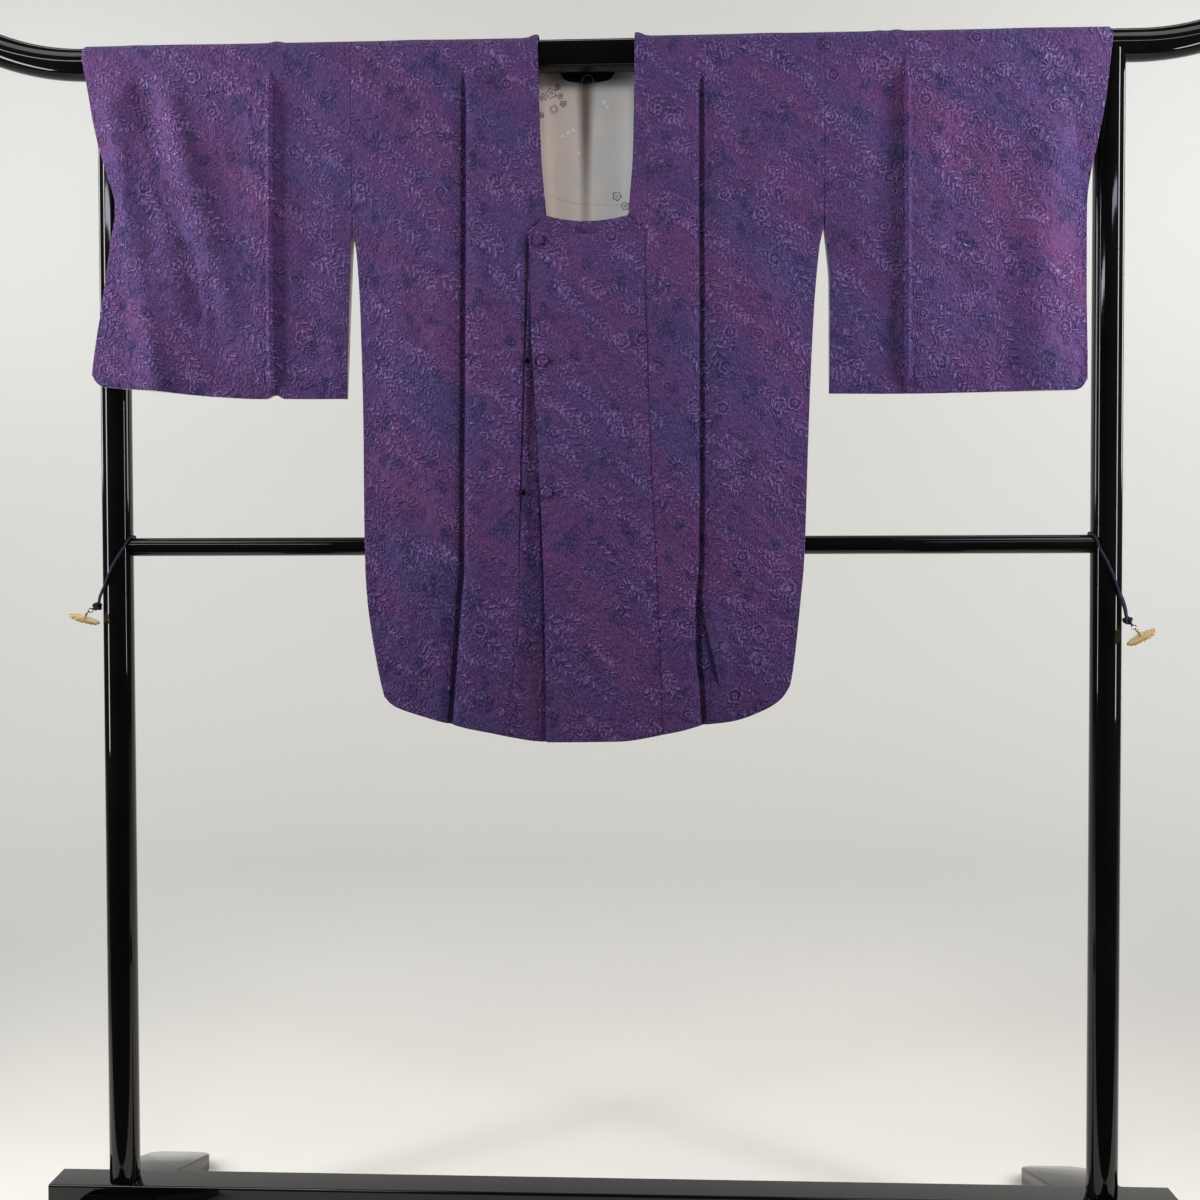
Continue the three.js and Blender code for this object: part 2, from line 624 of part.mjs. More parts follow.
// The knot and the ring below it that the medallion hangs by, as one turned form.
function knot(row) {
  const centre = knotCentre(row);
  const neck = new THREE.Vector3(0, 0, MEDALLION.neck + FIT_GAP * 2);
  neck.applyAxisAngle(new THREE.Vector3(0, 1, 0), radians(row.tilt));
  const low = centre.clone().add(new THREE.Vector3(...row.hang)).add(neck);
  const axis = low.clone().sub(centre);
  const upper = -CORD.knotTop / axis.length();
  const profile = [
    { t: upper, r: 1.2 }, { t: upper * 0.76, r: 3.4 }, { t: upper * 0.3, r: 4.9 },
    { t: 0.06, r: 5.1 }, { t: 0.24, r: 3.6 }, { t: 0.34, r: 2 },
    { t: 0.62, r: 1.5 }, { t: 0.92, r: 1.4 }, { t: 1, r: 0.6 },
  ];
  const turn = new THREE.Quaternion();
  turn.setFromUnitVectors(new THREE.Vector3(0, 0, 1), axis.clone().normalize());
  return loft(profile.map(({ t, r }) => Array.from({ length: 10 }, (_, k) => {
    const around = k / 10 * 2 * Math.PI;
    const rim = new THREE.Vector3(r * Math.cos(around), r * Math.sin(around), 0).applyQuaternion(turn);
    return centre.clone().addScaledVector(axis, t).add(rim);
  })));
}

// ---------------------------------------------------------------- the coat

const silk = () => new THREE.MeshStandardMaterial({ color: 0x4f3a6c, roughness: 0.6 });

const bodyHem = along(BODY_HEM, 'x', 'drop');

// Stations down one panel: the front from its hem, the arc over the bar, and the back to its hem.
const FRONT_RISE = [0, 0.03, 0.08, 0.14, 0.19, 0.27, 0.37, 0.48, 0.59, 0.68, 0.75, 0.83, 0.91, 0.97];
const ARC_TURNS = [-90, -67.5, -45, -22.5, 0, 22.5, 45, 67.5, 90];
const BACK_FALL = [0.07, 0.13, 0.22, 0.31, 0.42, 0.54, 0.66, 0.78, 0.88, 0.95, 1];

// A body panel is one length of cloth, from the front hem over the shoulder to the back hem.
// Its columns run from the side seam, past the pressed crease, to the front seam or centre back.
function bodyPanel(sign, lines, frontSeam) {
  const side = along(lines, 'drop', 'side');
  const crease = along(lines, 'drop', 'crease');
  const seam = along(frontSeam, 'drop', 'x');
  const neckOut = along(BACK_NECK, 'seamDrop', 'out');
  const backSeam = (drop) => CENTRE_X + sign * (neckOut(drop) + FIT_GAP / 2);
  const columns = [
    ...[0, 0.04, 0.1, 0.2, 0.36, 0.58, 0.8].map((t) => ({ from: 'side', t })),
    ...[-13, -6.5, 0, 6.5, 13].map((offset) => ({ from: 'crease', offset })),
    ...[0.36, 0.7, 1].map((t) => ({ from: 'seam', t })),
  ];
  const columnX = (column, drop, end) => {
    const inward = -sign;
    const edge = side(drop) + inward * FIT_GAP / 2;
    const fold = crease(drop);
    if (column.from === 'side') return mix(edge, fold - inward * 13, column.t);
    if (column.from === 'crease') return fold + inward * column.offset;
    return mix(fold + inward * 13, end(drop), column.t);
  };
  const frontEnd = (drop) => seam(drop) + sign * FIT_GAP / 2;
  const hemDrop = (column, end) => {
    let drop = 850;
    for (let pass = 0; pass < 12; pass += 1) drop = bodyHem(columnX(column, drop, end));
    return drop;
  };
  const frontHem = columns.map((column) => hemDrop(column, frontEnd));
  const backHem = columns.map((column) => hemDrop(column, backSeam) - 3);
  const places = [];
  for (const rise of FRONT_RISE) {
    places.push(columns.map((column, k) => {
      const drop = frontHem[k] * (1 - rise);
      return { x: columnX(column, drop, frontEnd), s: -(QUARTER + drop) };
    }));
  }
  for (const turn of ARC_TURNS) {
    places.push(columns.map((column) => ({ x: columnX(column, 0, frontEnd), s: turn / 90 * QUARTER })));
  }
  for (const { seamDrop } of BACK_NECK.slice(1)) {
    places.push(columns.map((column) => ({ x: columnX(column, seamDrop, backSeam), s: QUARTER + seamDrop })));
  }
  for (const fall of BACK_FALL) {
    places.push(columns.map((column, k) => {
      const drop = backHem[k] * fall;
      return { x: columnX(column, drop, backSeam), s: QUARTER + drop };
    }));
  }
  return clothWall(bodyShape, places);
}

// A sleeve is one length of cloth too: folded at the shoulder and sewn along its lower edge.
function sleeve(sign, lines, hem, passesPost) {
  const shape = sleeveShape(lines, passesPost);
  const front = along(lines, 'drop', 'front');
  const back = along(lines, 'drop', 'back');
  const inner = along(lines, 'drop', 'inner');
  const fold = along(lines, 'drop', 'fold');
  const hemAt = along(hem, 'x', 'drop');
  const columns = [
    ...[0, 0.035, 0.09, 0.17, 0.3, 0.5, 0.75].map((t) => ({ part: 'outer', t })),
    ...[16, 8, 0, -8, -16].map((offset) => ({ part: 'fold', offset })),
    ...[0.3, 0.65, 1].map((t) => ({ part: 'inner', t })),
  ];
  const columnX = (column, drop, edge) => {
    const middle = fold(drop);
    if (column.part === 'outer') return mix(edge(drop), middle + sign * 16, column.t);
    if (column.part === 'fold') return middle + sign * column.offset;
    return mix(middle - sign * 16, inner(drop), column.t);
  };
  const hemDrop = columns.map((column) => {
    let drop = 430;
    for (let pass = 0; pass < 12; pass += 1) drop = hemAt(columnX(column, drop, front));
    return drop;
  });
  const falls = [0.05, 0.13, 0.19, 0.25, 0.31, 0.37, 0.43, 0.48, 0.57, 0.7, 0.83, 0.92, 0.97, 1];
  const row = (fall, side, edge) => columns.map((column, k) => {
    const drop = hemDrop[k] * fall;
    return { x: columnX(column, drop, edge), s: side * (QUARTER + drop) };
  });
  const arc = (turn) => columns.map((column) => ({ x: columnX(column, 0, front), s: turn / 90 * QUARTER }));
  const places = [
    ...[...falls].reverse().map((fall) => row(fall, -1, front)),
    ...ARC_TURNS.map(arc),
    ...falls.map((fall) => row(fall, 1, back)),
  ];
  return clothWall(shape, places);
}

const overlapEdge = along(OVERLAP_EDGE, 'drop', 'x');
const underlapEdge = along(UNDERLAP_EDGE, 'drop', 'x');
const leftSeam = along(LEFT_FRONT_SEAM, 'drop', 'x');
const rightSeam = along(RIGHT_FRONT_SEAM, 'drop', 'x');

// The lapped front panels: the left one stands off over the right one, which sinks behind it.
const overLift = (x, drop) => LAP_STEP * ramp(leftSeam(drop) - x, 4, 60);
const underLift = (x, drop) => -LAP_STEP * ramp(x - rightSeam(drop), 1, 14);

const ACROSS_OVER = [0, 0.06, 0.18, 0.34, 0.5, 0.66, 0.82, 0.94, 1];
const ACROSS_UNDER = [0, 0.05, 0.1, 0.3, 0.65, 1];

const sagAt = (x, sag) => {
  const out = (x - CENTRE_X - 1) / 55;
  return sag * Math.max(0, 1 - out * out);
};

function frontPanel(fromEdge, toEdge, across, lift) {
  const rises = [...FRONT_RISE.filter((rise) => rise < 0.7), 'top'];
  const places = rises.map((rise) => across.map((u) => {
    const bottom = bodyHem(mix(fromEdge(880), toEdge(880), u));
    const topX = mix(fromEdge(240), toEdge(240), u);
    const top = NECK_FRONT.seamDrop + sagAt(topX, NECK_FRONT.seamSag) + FIT_GAP / 2;
    const drop = rise === 'top' ? top : bottom * (1 - rise);
    return { x: mix(fromEdge(drop), toEdge(drop), u), s: -(QUARTER + drop) };
  }));
  return clothWall(bodyShape, places, lift);
}

// The neck band runs from the right front corner over the bar, round the back of the neck and
// over the bar again to the left front corner, where a second piece, mitred, crosses the front.
function neckBand() {
  const half = (sign, seam, edgeKey) => {
    const edge = along(NECK_SIDE_EDGE, 'drop', edgeKey);
    const seamX = (drop) => seam(drop) - sign * FIT_GAP / 2;
    const stations = [];
    for (const t of [1, 0.94, 0.64, 0.34, 0.11, 0]) {
      const seamDrop = (NECK_FRONT.seamDrop - 1.2) * t;
      const edgeDrop = (NECK_FRONT.edgeDrop - 0.4) * t;
      stations.push({
        seam: { x: seamX(seamDrop), s: -(QUARTER + seamDrop) },
        edge: { x: edge(edgeDrop), s: -(QUARTER + edgeDrop) },
      });
    }
    for (const turn of ARC_TURNS.slice(1, -1)) {
      const s = turn / 90 * QUARTER;
      stations.push({ seam: { x: seamX(0), s }, edge: { x: edge(0), s } });
    }
    for (const row of BACK_NECK) {
      const out = row.out > 0 ? row.out - FIT_GAP / 2 : 0;
      stations.push({
        seam: { x: CENTRE_X + sign * out, s: QUARTER + row.seamDrop - FIT_GAP },
        edge: { x: CENTRE_X + sign * row.edgeOut, s: QUARTER + row.edgeDrop },
      });
    }
    return stations;
  };
  const right = half(-1, rightSeam, 'right');
  const left = half(1, leftSeam, 'left').reverse().slice(1);
  const places = [...right, ...left].map(({ seam, edge }) => [0, 0.5, 1].map((u) => (
    { x: mix(seam.x, edge.x, u), s: mix(seam.s, edge.s, u) }
  )));
  return clothWall(bodyShape, places);
}

function neckBandFront() {
  const places = ACROSS_OVER.map((t) => [0, 0.5, 1].map((u) => {
    const lowX = mix(overlapEdge(240), leftSeam(240) - FIT_GAP / 2, t);
    const highX = mix(-72.8, 31.6, t);
    const low = NECK_FRONT.seamDrop + sagAt(lowX, NECK_FRONT.seamSag) - FIT_GAP / 2;
    const high = NECK_FRONT.edgeDrop + sagAt(highX, NECK_FRONT.sag);
    return { x: mix(lowX, highX, u), s: -(QUARTER + mix(low, high, u)) };
  }));
  return clothWall(bodyShape, places, overLift);
}

// The part of the back lining that shows in the neck, with its upper edge at the band's seam.
function backLining() {
  const seamDrop = along([...BACK_NECK].reverse(), 'out', 'seamDrop');
  const falls = BACK_FALL.slice(0, 4).map((fall) => fall * LINING.bodyLength);
  const places = ['top', ...falls].map((fall) => steps(9).map((u) => {
    const x = mix(LINING.right, LINING.left, u);
    const top = Math.max(LINING.highest, seamDrop(Math.abs(x - CENTRE_X)));
    return { x, s: QUARTER + (fall === 'top' ? top : fall) };
  }));
  const behind = () => -(LINING.thickness + FIT_GAP);
  return clothWall(bodyShape, places, behind, LINING.thickness);
}

// A small turned piece that sits on the front at x and drop, its back to the cloth.
function onFront(profile, x, drop, lift, standOff) {
  const s = -(QUARTER + drop);
  const here = drape(bodyShape, x, s, lift + CLOTH);
  const lower = drape(bodyShape, x, s - 6, lift + CLOTH);
  const aside = drape(bodyShape, x + 4, s, lift + CLOTH);
  const normal = new THREE.Vector3().crossVectors(aside.sub(here), lower.sub(here)).normalize();
  if (normal.y > 0) normal.negate();
  const geometry = new THREE.LatheGeometry(profile.map(([r, h]) => new THREE.Vector2(r, h)), 20);
  geometry.applyQuaternion(new THREE.Quaternion().setFromUnitVectors(new THREE.Vector3(0, 1, 0), normal));
  const seat = here.addScaledVector(normal, standOff);
  return geometry.translate(seat.x, seat.y, seat.z);
}

function coveredButton({ x, drop }) {
  const { radius, height } = BUTTON;
  const profile = [[0, 0], [radius * 0.86, 0], [radius, height * 0.3], [radius * 0.93, height * 0.62],
    [radius * 0.7, height * 0.88], [radius * 0.36, height * 0.98], [0, height]];
  return onFront(profile, x, drop, overLift(x, drop), FIT_GAP + 0.15);
}

function snapStud({ x, drop }) {
  const { radius, flange, stud, height } = SNAP;
  const profile = [[0, 0], [radius, 0], [radius, flange * 0.6], [radius * 0.8, flange], [stud, flange + 0.3],
    [stud * 1.15, height * 0.8], [stud * 0.8, height], [0, height]];
  return onFront(profile, x, drop, underLift(x, drop), FIT_GAP + 0.7);
}

// A thread loop at the centre back, both ends on the lining's upper edge.
function hangingLoop() {
  const top = drape(bodyShape, CENTRE_X, QUARTER + BACK_NECK[4].seamDrop, 0);
  const ends = BACK_NECK[4].seamDrop - LINING.highest;
  const y = top.y - LINING.thickness - FIT_GAP * 2 - LOOP.thread / 2 - 0.25;
  const z = top.z - 3;
  const route = steps(10).map((t) => {
    const around = Math.PI * mix(-0.12, 1.12, t);
    const out = LOOP.width / 2 * Math.cos(around);
    const up = Math.min(LOOP.height, ends) * Math.sin(around);
    return new THREE.Vector3(CENTRE_X + out, y, z + 3 + up);
  });
  const section = new THREE.Shape();
  section.absarc(0, 0, LOOP.thread / 2, 0, 2 * Math.PI, false);
  const extrudePath = new THREE.CatmullRomCurve3(route);
  return new THREE.ExtrudeGeometry(section, { extrudePath, steps: 16, curveSegments: 3, bevelEnabled: false });
}

// ---------------------------------------------------------------- assembly

const stand = new THREE.Group();
stand.add(meshOf('stand_top_bar', topBar(), lacquer()));
stand.add(meshOf('stand_post_right', post(-1), lacquer()));
stand.add(meshOf('stand_post_left', post(1), lacquer()));
stand.add(meshOf('stand_rail', middleRail(), lacquer()));
stand.add(meshOf('stand_beam', baseBeam(), lacquer()));
stand.add(meshOf('stand_foot_right', foot(-1), lacquer()));
stand.add(meshOf('stand_foot_left', foot(1), lacquer()));

const fittings = new THREE.Group();
for (const row of CORD_LOOPS) {
  const braid = new THREE.MeshStandardMaterial({ color: 0x2c1c4a, roughness: 0.8 });
  const brass = new THREE.MeshStandardMaterial({ color: 0xb8902f, roughness: 0.3, metalness: 1 });
  fittings.add(meshOf(`cord_${row.side}`, cordLoop(row), braid));
  fittings.add(meshOf(`knot_${row.side}`, knot(row), braid.clone()));
  fittings.add(meshOf(`medallion_${row.side}`, medallion(row), brass));
}

const coat = new THREE.Group();
coat.add(meshOf('body_right', bodyPanel(-1, BODY_RIGHT_LINES, RIGHT_FRONT_SEAM), silk()));
coat.add(meshOf('body_left', bodyPanel(1, BODY_LEFT_LINES, LEFT_FRONT_SEAM), silk()));
coat.add(meshOf('sleeve_right', sleeve(-1, SLEEVE_RIGHT_LINES, SLEEVE_RIGHT_HEM, true), silk()));
coat.add(meshOf('sleeve_left', sleeve(1, SLEEVE_LEFT_LINES, SLEEVE_LEFT_HEM, false), silk()));
coat.add(meshOf(
  'front_panel_under',
  frontPanel((drop) => rightSeam(drop) + FIT_GAP / 2, underlapEdge, ACROSS_UNDER, underLift),
  silk(),
));
coat.add(meshOf(
  'front_panel_over',
  frontPanel(overlapEdge, (drop) => leftSeam(drop) - FIT_GAP / 2, ACROSS_OVER, overLift),
  silk(),
));
coat.add(meshOf('neck_band', neckBand(), silk()));
coat.add(meshOf('neck_band_front', neckBandFront(), silk()));
const liningCloth = new THREE.MeshStandardMaterial({ color: 0xc9c3bb, roughness: 0.7 });
coat.add(meshOf('back_lining', backLining(), liningCloth));
for (const row of COVERED_BUTTONS) coat.add(meshOf(row.name, coveredButton(row), silk()));
for (const row of SNAPS) {
  const metal = new THREE.MeshStandardMaterial({ color: 0x2a2628, roughness: 0.3, metalness: 1 });
  coat.add(meshOf(row.name, snapStud(row), metal));
}
const thread = new THREE.MeshStandardMaterial({ color: 0xd8cdb8, roughness: 0.8 });
coat.add(meshOf('hanging_loop', hangingLoop(), thread));

const group = new THREE.Group();
group.add(stand, fittings, coat);

export default group;
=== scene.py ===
"""A silk kimono coat with a square neck, hung over the top bar of a black lacquered kimono stand.

Tables are in millimetres, as a maker would measure them, and meshes in metres. +X runs to the
wearer's left, +Y to the back and +Z up. "Left" and "right" are the wearer's. Along the cloth a
point is named by x and by s, its distance from the shoulder line: negative down the front.
"""

import math

import bpy
import numpy as np
from mathutils import Matrix, Vector


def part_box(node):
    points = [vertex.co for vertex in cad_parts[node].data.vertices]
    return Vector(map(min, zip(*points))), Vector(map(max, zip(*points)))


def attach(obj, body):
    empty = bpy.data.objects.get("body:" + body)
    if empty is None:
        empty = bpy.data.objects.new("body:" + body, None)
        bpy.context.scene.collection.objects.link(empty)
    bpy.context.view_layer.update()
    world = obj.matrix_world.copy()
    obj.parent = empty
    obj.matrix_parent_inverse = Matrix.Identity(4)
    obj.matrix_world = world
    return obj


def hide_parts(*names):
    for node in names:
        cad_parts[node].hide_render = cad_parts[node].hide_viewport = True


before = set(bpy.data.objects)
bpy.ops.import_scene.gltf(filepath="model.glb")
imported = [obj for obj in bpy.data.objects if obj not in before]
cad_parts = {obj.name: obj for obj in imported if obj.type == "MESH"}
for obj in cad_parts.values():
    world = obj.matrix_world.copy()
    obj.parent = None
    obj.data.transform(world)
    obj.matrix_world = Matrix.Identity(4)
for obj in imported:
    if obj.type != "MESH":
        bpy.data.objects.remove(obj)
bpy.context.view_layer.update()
MM = 0.001

# ------------------------------------------------------------------ camera
# One still camera stands in front of the coat, a little to the wearer's left, at chest height.
CAMERA_AT = (0.05566, -1.568, 0.88487)
CAMERA_TURNS = {"yaw": -2.241, "pitch": -1.254, "roll": -0.139}
LENS, SENSOR = 36.09, 36.0

yaw, pitch, roll = (math.radians(CAMERA_TURNS[k]) for k in ("yaw", "pitch", "roll"))
ahead = Vector((math.sin(yaw) * math.cos(pitch), math.cos(yaw) * math.cos(pitch), math.sin(pitch)))
level = Vector((math.cos(yaw), -math.sin(yaw), 0))
above = level.cross(ahead)
right = level * math.cos(roll) + above * math.sin(roll)
up = above * math.cos(roll) - level * math.sin(roll)
camera = bpy.data.objects.new("camera", bpy.data.cameras.new("camera"))
camera.data.lens, camera.data.sensor_width = LENS, SENSOR
camera.matrix_world = Matrix((
    (right.x, up.x, -ahead.x, CAMERA_AT[0]),
    (right.y, up.y, -ahead.y, CAMERA_AT[1]),
    (right.z, up.z, -ahead.z, CAMERA_AT[2]),
    (0, 0, 0, 1),
))
bpy.context.scene.collection.objects.link(camera)
bpy.context.scene.camera = camera

# ------------------------------------------------------------------ cords round the posts
# A thin braided silk cord is looped round each post and caught over the middle rail. Both its
# ends go into one knot, from which a small gilt medallion hangs by two rings.
POST_X, POST_RADIUS = 644.0, 19.25
RAIL_HEIGHT, RAIL_RADIUS = 921.5, 12.0
CORD_DIAMETER = 3.0
CORDS = {
    "side": ("right", "left"),
    "sign": (-1, 1),
    "knot_height": (843, 824),
    "sink": (-0.3, 0.2),
    "hang": ((-11.5, -12, -15), (11.5, -13, -20)),
    "tilt": (20, -33),
}
KNOT_BEARING, KNOT_GAP, CORD_OFF_POST = 150, 5.2, 0.5
CORD_REACH = POST_RADIUS + CORD_DIAMETER / 2 + CORD_OFF_POST
CORD_SWELL = 0.16  # how much farther out the cord stands where it nears its knot


def hex_colour(code):
    """sRGB hex to linear RGBA."""
    parts = [int(code[k:k + 2], 16) / 255 for k in (1, 3, 5)]
    return (*[p / 12.92 if p <= 0.04045 else ((p + 0.055) / 1.055) ** 2.4 for p in parts], 1)


def add(tree, kind, inputs=(), **settings):
    """Adds a shader or geometry node with its settings, its values and what is linked to it.
    Inputs are named in a dictionary or numbered from 0 in a tuple."""
    made = tree.nodes.new(kind)
    for name, value in settings.items():
        setattr(made, name, value)
    for key, value in inputs.items() if isinstance(inputs, dict) else enumerate(inputs):
        socket = made.inputs[key]
        if isinstance(value, bpy.types.Node):
            value = next(o for o in value.outputs if o.enabled)
        if isinstance(value, bpy.types.NodeSocket):
            tree.links.new(value, socket)
        else:
            socket.default_value = value
    return made


def new_finish(name, **surface):
    """A material with one principled surface, whose uniform values are set on its own sockets."""
    made = bpy.data.materials.new(name)
    made.use_nodes = True
    tree = made.node_tree
    tree.nodes.clear()
    shader = add(tree, "ShaderNodeBsdfPrincipled", {
        key.replace("_", " "): value for key, value in surface.items()
    })
    add(tree, "ShaderNodeOutputMaterial", {"Surface": shader})
    return made, tree, shader


def stops(ramp, *pairs):
    """Sets a colour ramp's stops from (place, hex colour) pairs."""
    elements = ramp.color_ramp.elements
    while len(elements) < len(pairs):
        elements.new(0.5)
    for element, (place, code) in zip(elements, pairs):
        element.position, element.color = place, hex_colour(code)
    return ramp


def piece(name, points, faces, finishes, uv=None, which=None, smooth=True):
    """A mesh piece of the object, from points in millimetres, riding on the root body."""
    mesh = bpy.data.meshes.new(name)
    mesh.from_pydata((np.asarray(points, float) * MM).tolist(), [], [list(f) for f in faces])
    for finish in finishes:
        mesh.materials.append(finish)
    if which is not None:
        mesh.polygons.foreach_set("material_index", np.asarray(which, np.int32))
    if uv is not None:
        layer = mesh.uv_layers.new(name="cloth")
        loops = np.zeros(len(mesh.loops), np.int32)
        mesh.loops.foreach_get("vertex_index", loops)
        layer.data.foreach_set("uv", (np.asarray(uv, float)[loops] * MM).astype(np.float32).ravel())
    mesh.polygons.foreach_set("use_smooth", np.full(len(mesh.polygons), smooth))
    mesh.update()
    made = bpy.data.objects.new(name, mesh)
    bpy.context.scene.collection.objects.link(made)
    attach(made, "root")
    return made


def skin(rings, closed=False):
    """Faces through rings of points, each ring a closed loop, with both ends capped by a fan."""
    count = len(rings[0])
    points = [tuple(p) for ring in rings for p in ring]
    faces = []
    pairs = len(rings) if closed else len(rings) - 1
    for r in range(pairs):
        here, there = r * count, (r + 1) % len(rings) * count
        for k in range(count):
            n = (k + 1) % count
            faces.append((here + k, here + n, there + n, there + k))
    if not closed:
        for end, flip in ((0, True), (len(rings) - 1, False)):
            points.append(tuple(np.mean(np.asarray(rings[end], float), axis=0)))
            for k in range(count):
                a, b = end * count + k, end * count + (k + 1) % count
                faces.append((b, a, len(points) - 1) if flip else (a, b, len(points) - 1))
    return points, faces


def tube(path, radius, sides, closed=False, taper=0.0):
    """Rings round a path, carried along it without twist, and the points' uv along and around."""
    path = np.asarray(path, float)
    forward = np.gradient(path, axis=0)
    if closed:
        forward = np.roll(path, -1, 0) - np.roll(path, 1, 0)
    forward /= np.linalg.norm(forward, axis=1)[:, None]
    side = np.cross(forward[0], (0.3, 0.2, 0.93))
    length = np.concatenate([[0], np.cumsum(np.linalg.norm(np.diff(path, axis=0), axis=1))])
    rings, uv = [], []
    for k, (at, f) in enumerate(zip(path, forward)):
        side = side - f * side.dot(f)
        side /= np.linalg.norm(side)
        over = np.cross(f, side)
        end = min(length[k], length[-1] - length[k])
        blunt = 1 if taper <= 0 or end > taper else math.sqrt(max(0.04, 1 - (1 - end / taper) ** 2))
        r = radius * blunt
        turns = np.arange(sides) / sides * 2 * math.pi
        rings.append([at + r * (math.cos(t) * side + math.sin(t) * over) for t in turns])
        uv += [(length[k], t * radius) for t in turns]
    points, faces = skin(rings, closed)
    uv += [(0, 0)] * (len(points) - len(uv))
    return points, faces, uv


# Braided silk: matt, with the plies of the braid as fine slanting ridges 1 mm apart.
braid, tree, shader = new_finish("braided silk", Roughness=0.6, Sheen_Weight=0.04)
where = add(tree, "ShaderNodeUVMap", uv_map="cloth")
slant = add(tree, "ShaderNodeMapping", {"Vector": where, "Rotation": (0, 0, math.radians(38))})
plies = add(tree, "ShaderNodeTexWave", {"Vector": slant, "Scale": 330, "Distortion": 0.6})
# The grooves between the plies are painted darker, as shade, and the ridges lighter.
tone = stops(add(tree, "ShaderNodeValToRGB", {"Fac": plies}), (0.1, "#060214"), (0.9, "#180A36"))
bump = add(tree, "ShaderNodeBump", {"Height": plies, "Strength": 0.7, "Distance": 0.0004})
tree.links.new(tone.outputs[0], shader.inputs["Base Color"])
tree.links.new(bump.outputs[0], shader.inputs["Normal"])

# Gilt brass: polished by handling on the raised petals and duller in the hollows between them.
gilt, tree, shader = new_finish("gilt brass", Metallic=0.7)
place = add(tree, "ShaderNodeTexCoord").outputs["Object"]
spots = add(tree, "ShaderNodeTexNoise", {"Vector": place, "Scale": 380, "Detail": 4})
wear = add(tree, "ShaderNodeMapRange", {"Value": spots, "To Min": 0.16, "To Max": 0.42})
tone = stops(add(tree, "ShaderNodeValToRGB", {"Fac": spots}), (0.3, "#DDA848"), (0.7, "#FFE096"))
tree.links.new(wear.outputs[0], shader.inputs["Roughness"])
tree.links.new(tone.outputs[0], shader.inputs["Base Color"])

# The pressed plate behind the petals, with fine ribs 1.3 mm apart; its gilt is a little duller, and its
# colour paints shade between the ribs and a pale highlight on each crest.
rib_shaded_gilt, tree, shader = new_finish("ribbed gilt", Metallic=0.55, Roughness=0.32)
place = add(tree, "ShaderNodeTexCoord").outputs["Object"]
ribs = add(tree, "ShaderNodeTexWave", {"Vector": place, "Scale": 240, "Distortion": 1.6, "Detail": 1},
           bands_direction="Z")
tone = stops(add(tree, "ShaderNodeValToRGB", {"Fac": ribs}),
             (0.15, "#5E3D12"), (0.55, "#CF9E44"), (0.9, "#FFE9A8"))
tree.links.new(tone.outputs[0], shader.inputs["Base Color"])
bump = add(tree, "ShaderNodeBump", {"Height": ribs.outputs["Fac"], "Strength": 0.6, "Distance": 0.0004})
tree.links.new(bump.outputs[0], shader.inputs["Normal"])


def plated(name, code, grain, least, most):
    """Plated metal, its shine broken by the fine marks of handling."""
    made, tree, shader = new_finish(name, Metallic=1.0, Base_Color=hex_colour(code))
    place = add(tree, "ShaderNodeTexCoord").outputs["Object"]
    fine = add(tree, "ShaderNodeTexNoise", {"Vector": place, "Scale": grain, "Detail": 3})
    wear = add(tree, "ShaderNodeMapRange", {"Value": fine, "To Min": least, "To Max": most})
    tree.links.new(wear.outputs[0], shader.inputs["Roughness"])
    return made


# Nickel rings: bright plated wire.
nickel = plated("plated wire", "#C9C5BE", 900, 0.14, 0.3)

MEDALLION_RADIUS, PETALS, INNER_PETALS = 20.0, 14, 10
PETAL_LENGTH, PETAL_HALF_WIDTH, PETAL_RISE = 0.0055, 0.0021, 0.0011


def sockets(tree, rows):
    """Gives a geometry tree its inputs, as (name, kind, value) rows, and its one output."""
    for name, kind, value in rows:
        socket = tree.interface.new_socket(name, in_out="INPUT", socket_type=kind)
        if value is not None:
            socket.default_value = value
    tree.interface.new_socket("Geometry", in_out="OUTPUT", socket_type="NodeSocketGeometry")
    return add(tree, "NodeGroupInput")


def petal_ring_tree():
    """Raised petals set in a ring: one petal mesh on each point of a circle, turned outwards."""
    tree = bpy.data.node_groups.new("petal ring", "GeometryNodeTree")
    given = sockets(tree, (
        ("Petal", "NodeSocketObject", None), ("Count", "NodeSocketInt", PETALS),
        ("Ring Radius", "NodeSocketFloat", 0.01), ("Finish", "NodeSocketMaterial", None),
    ))
    ring = add(tree, "GeometryNodeMeshCircle", {"Vertices": given.outputs["Count"],
                                                "Radius": given.outputs["Ring Radius"]})
    place = add(tree, "GeometryNodeInputPosition")
    facing = add(tree, "FunctionNodeAlignRotationToVector", {"Vector": place}, axis="X", pivot_axis="Z")
    petal = add(tree, "GeometryNodeObjectInfo", {"Object": given.outputs["Petal"]})
    petals = add(tree, "GeometryNodeInstanceOnPoints", {
        "Points": ring, "Instance": petal.outputs["Geometry"], "Rotation": facing,
    })
    real = add(tree, "GeometryNodeRealizeInstances", {"Geometry": petals})
    done = add(tree, "GeometryNodeSetMaterial", {"Geometry": real, "Material": given.outputs["Finish"]})
    add(tree, "NodeGroupOutput", {"Geometry": done})
    return tree


def grown(tree, inputs):
    """The plain mesh that a geometry tree makes, its modifier gone."""
    carrier = bpy.data.objects.new("carrier", bpy.data.meshes.new("carrier"))
    bpy.context.scene.collection.objects.link(carrier)
    modifier = carrier.modifiers.new("grow", "NODES")
    modifier.node_group = tree
    for socket in tree.interface.items_tree:
        if socket.in_out == "INPUT" and socket.name in inputs:
            modifier[socket.identifier] = inputs[socket.name]
    bpy.context.view_layer.update()
    depsgraph = bpy.context.evaluated_depsgraph_get()
    mesh = bpy.data.meshes.new_from_object(carrier.evaluated_get(depsgraph))
    bpy.data.objects.remove(carrier)
    return mesh


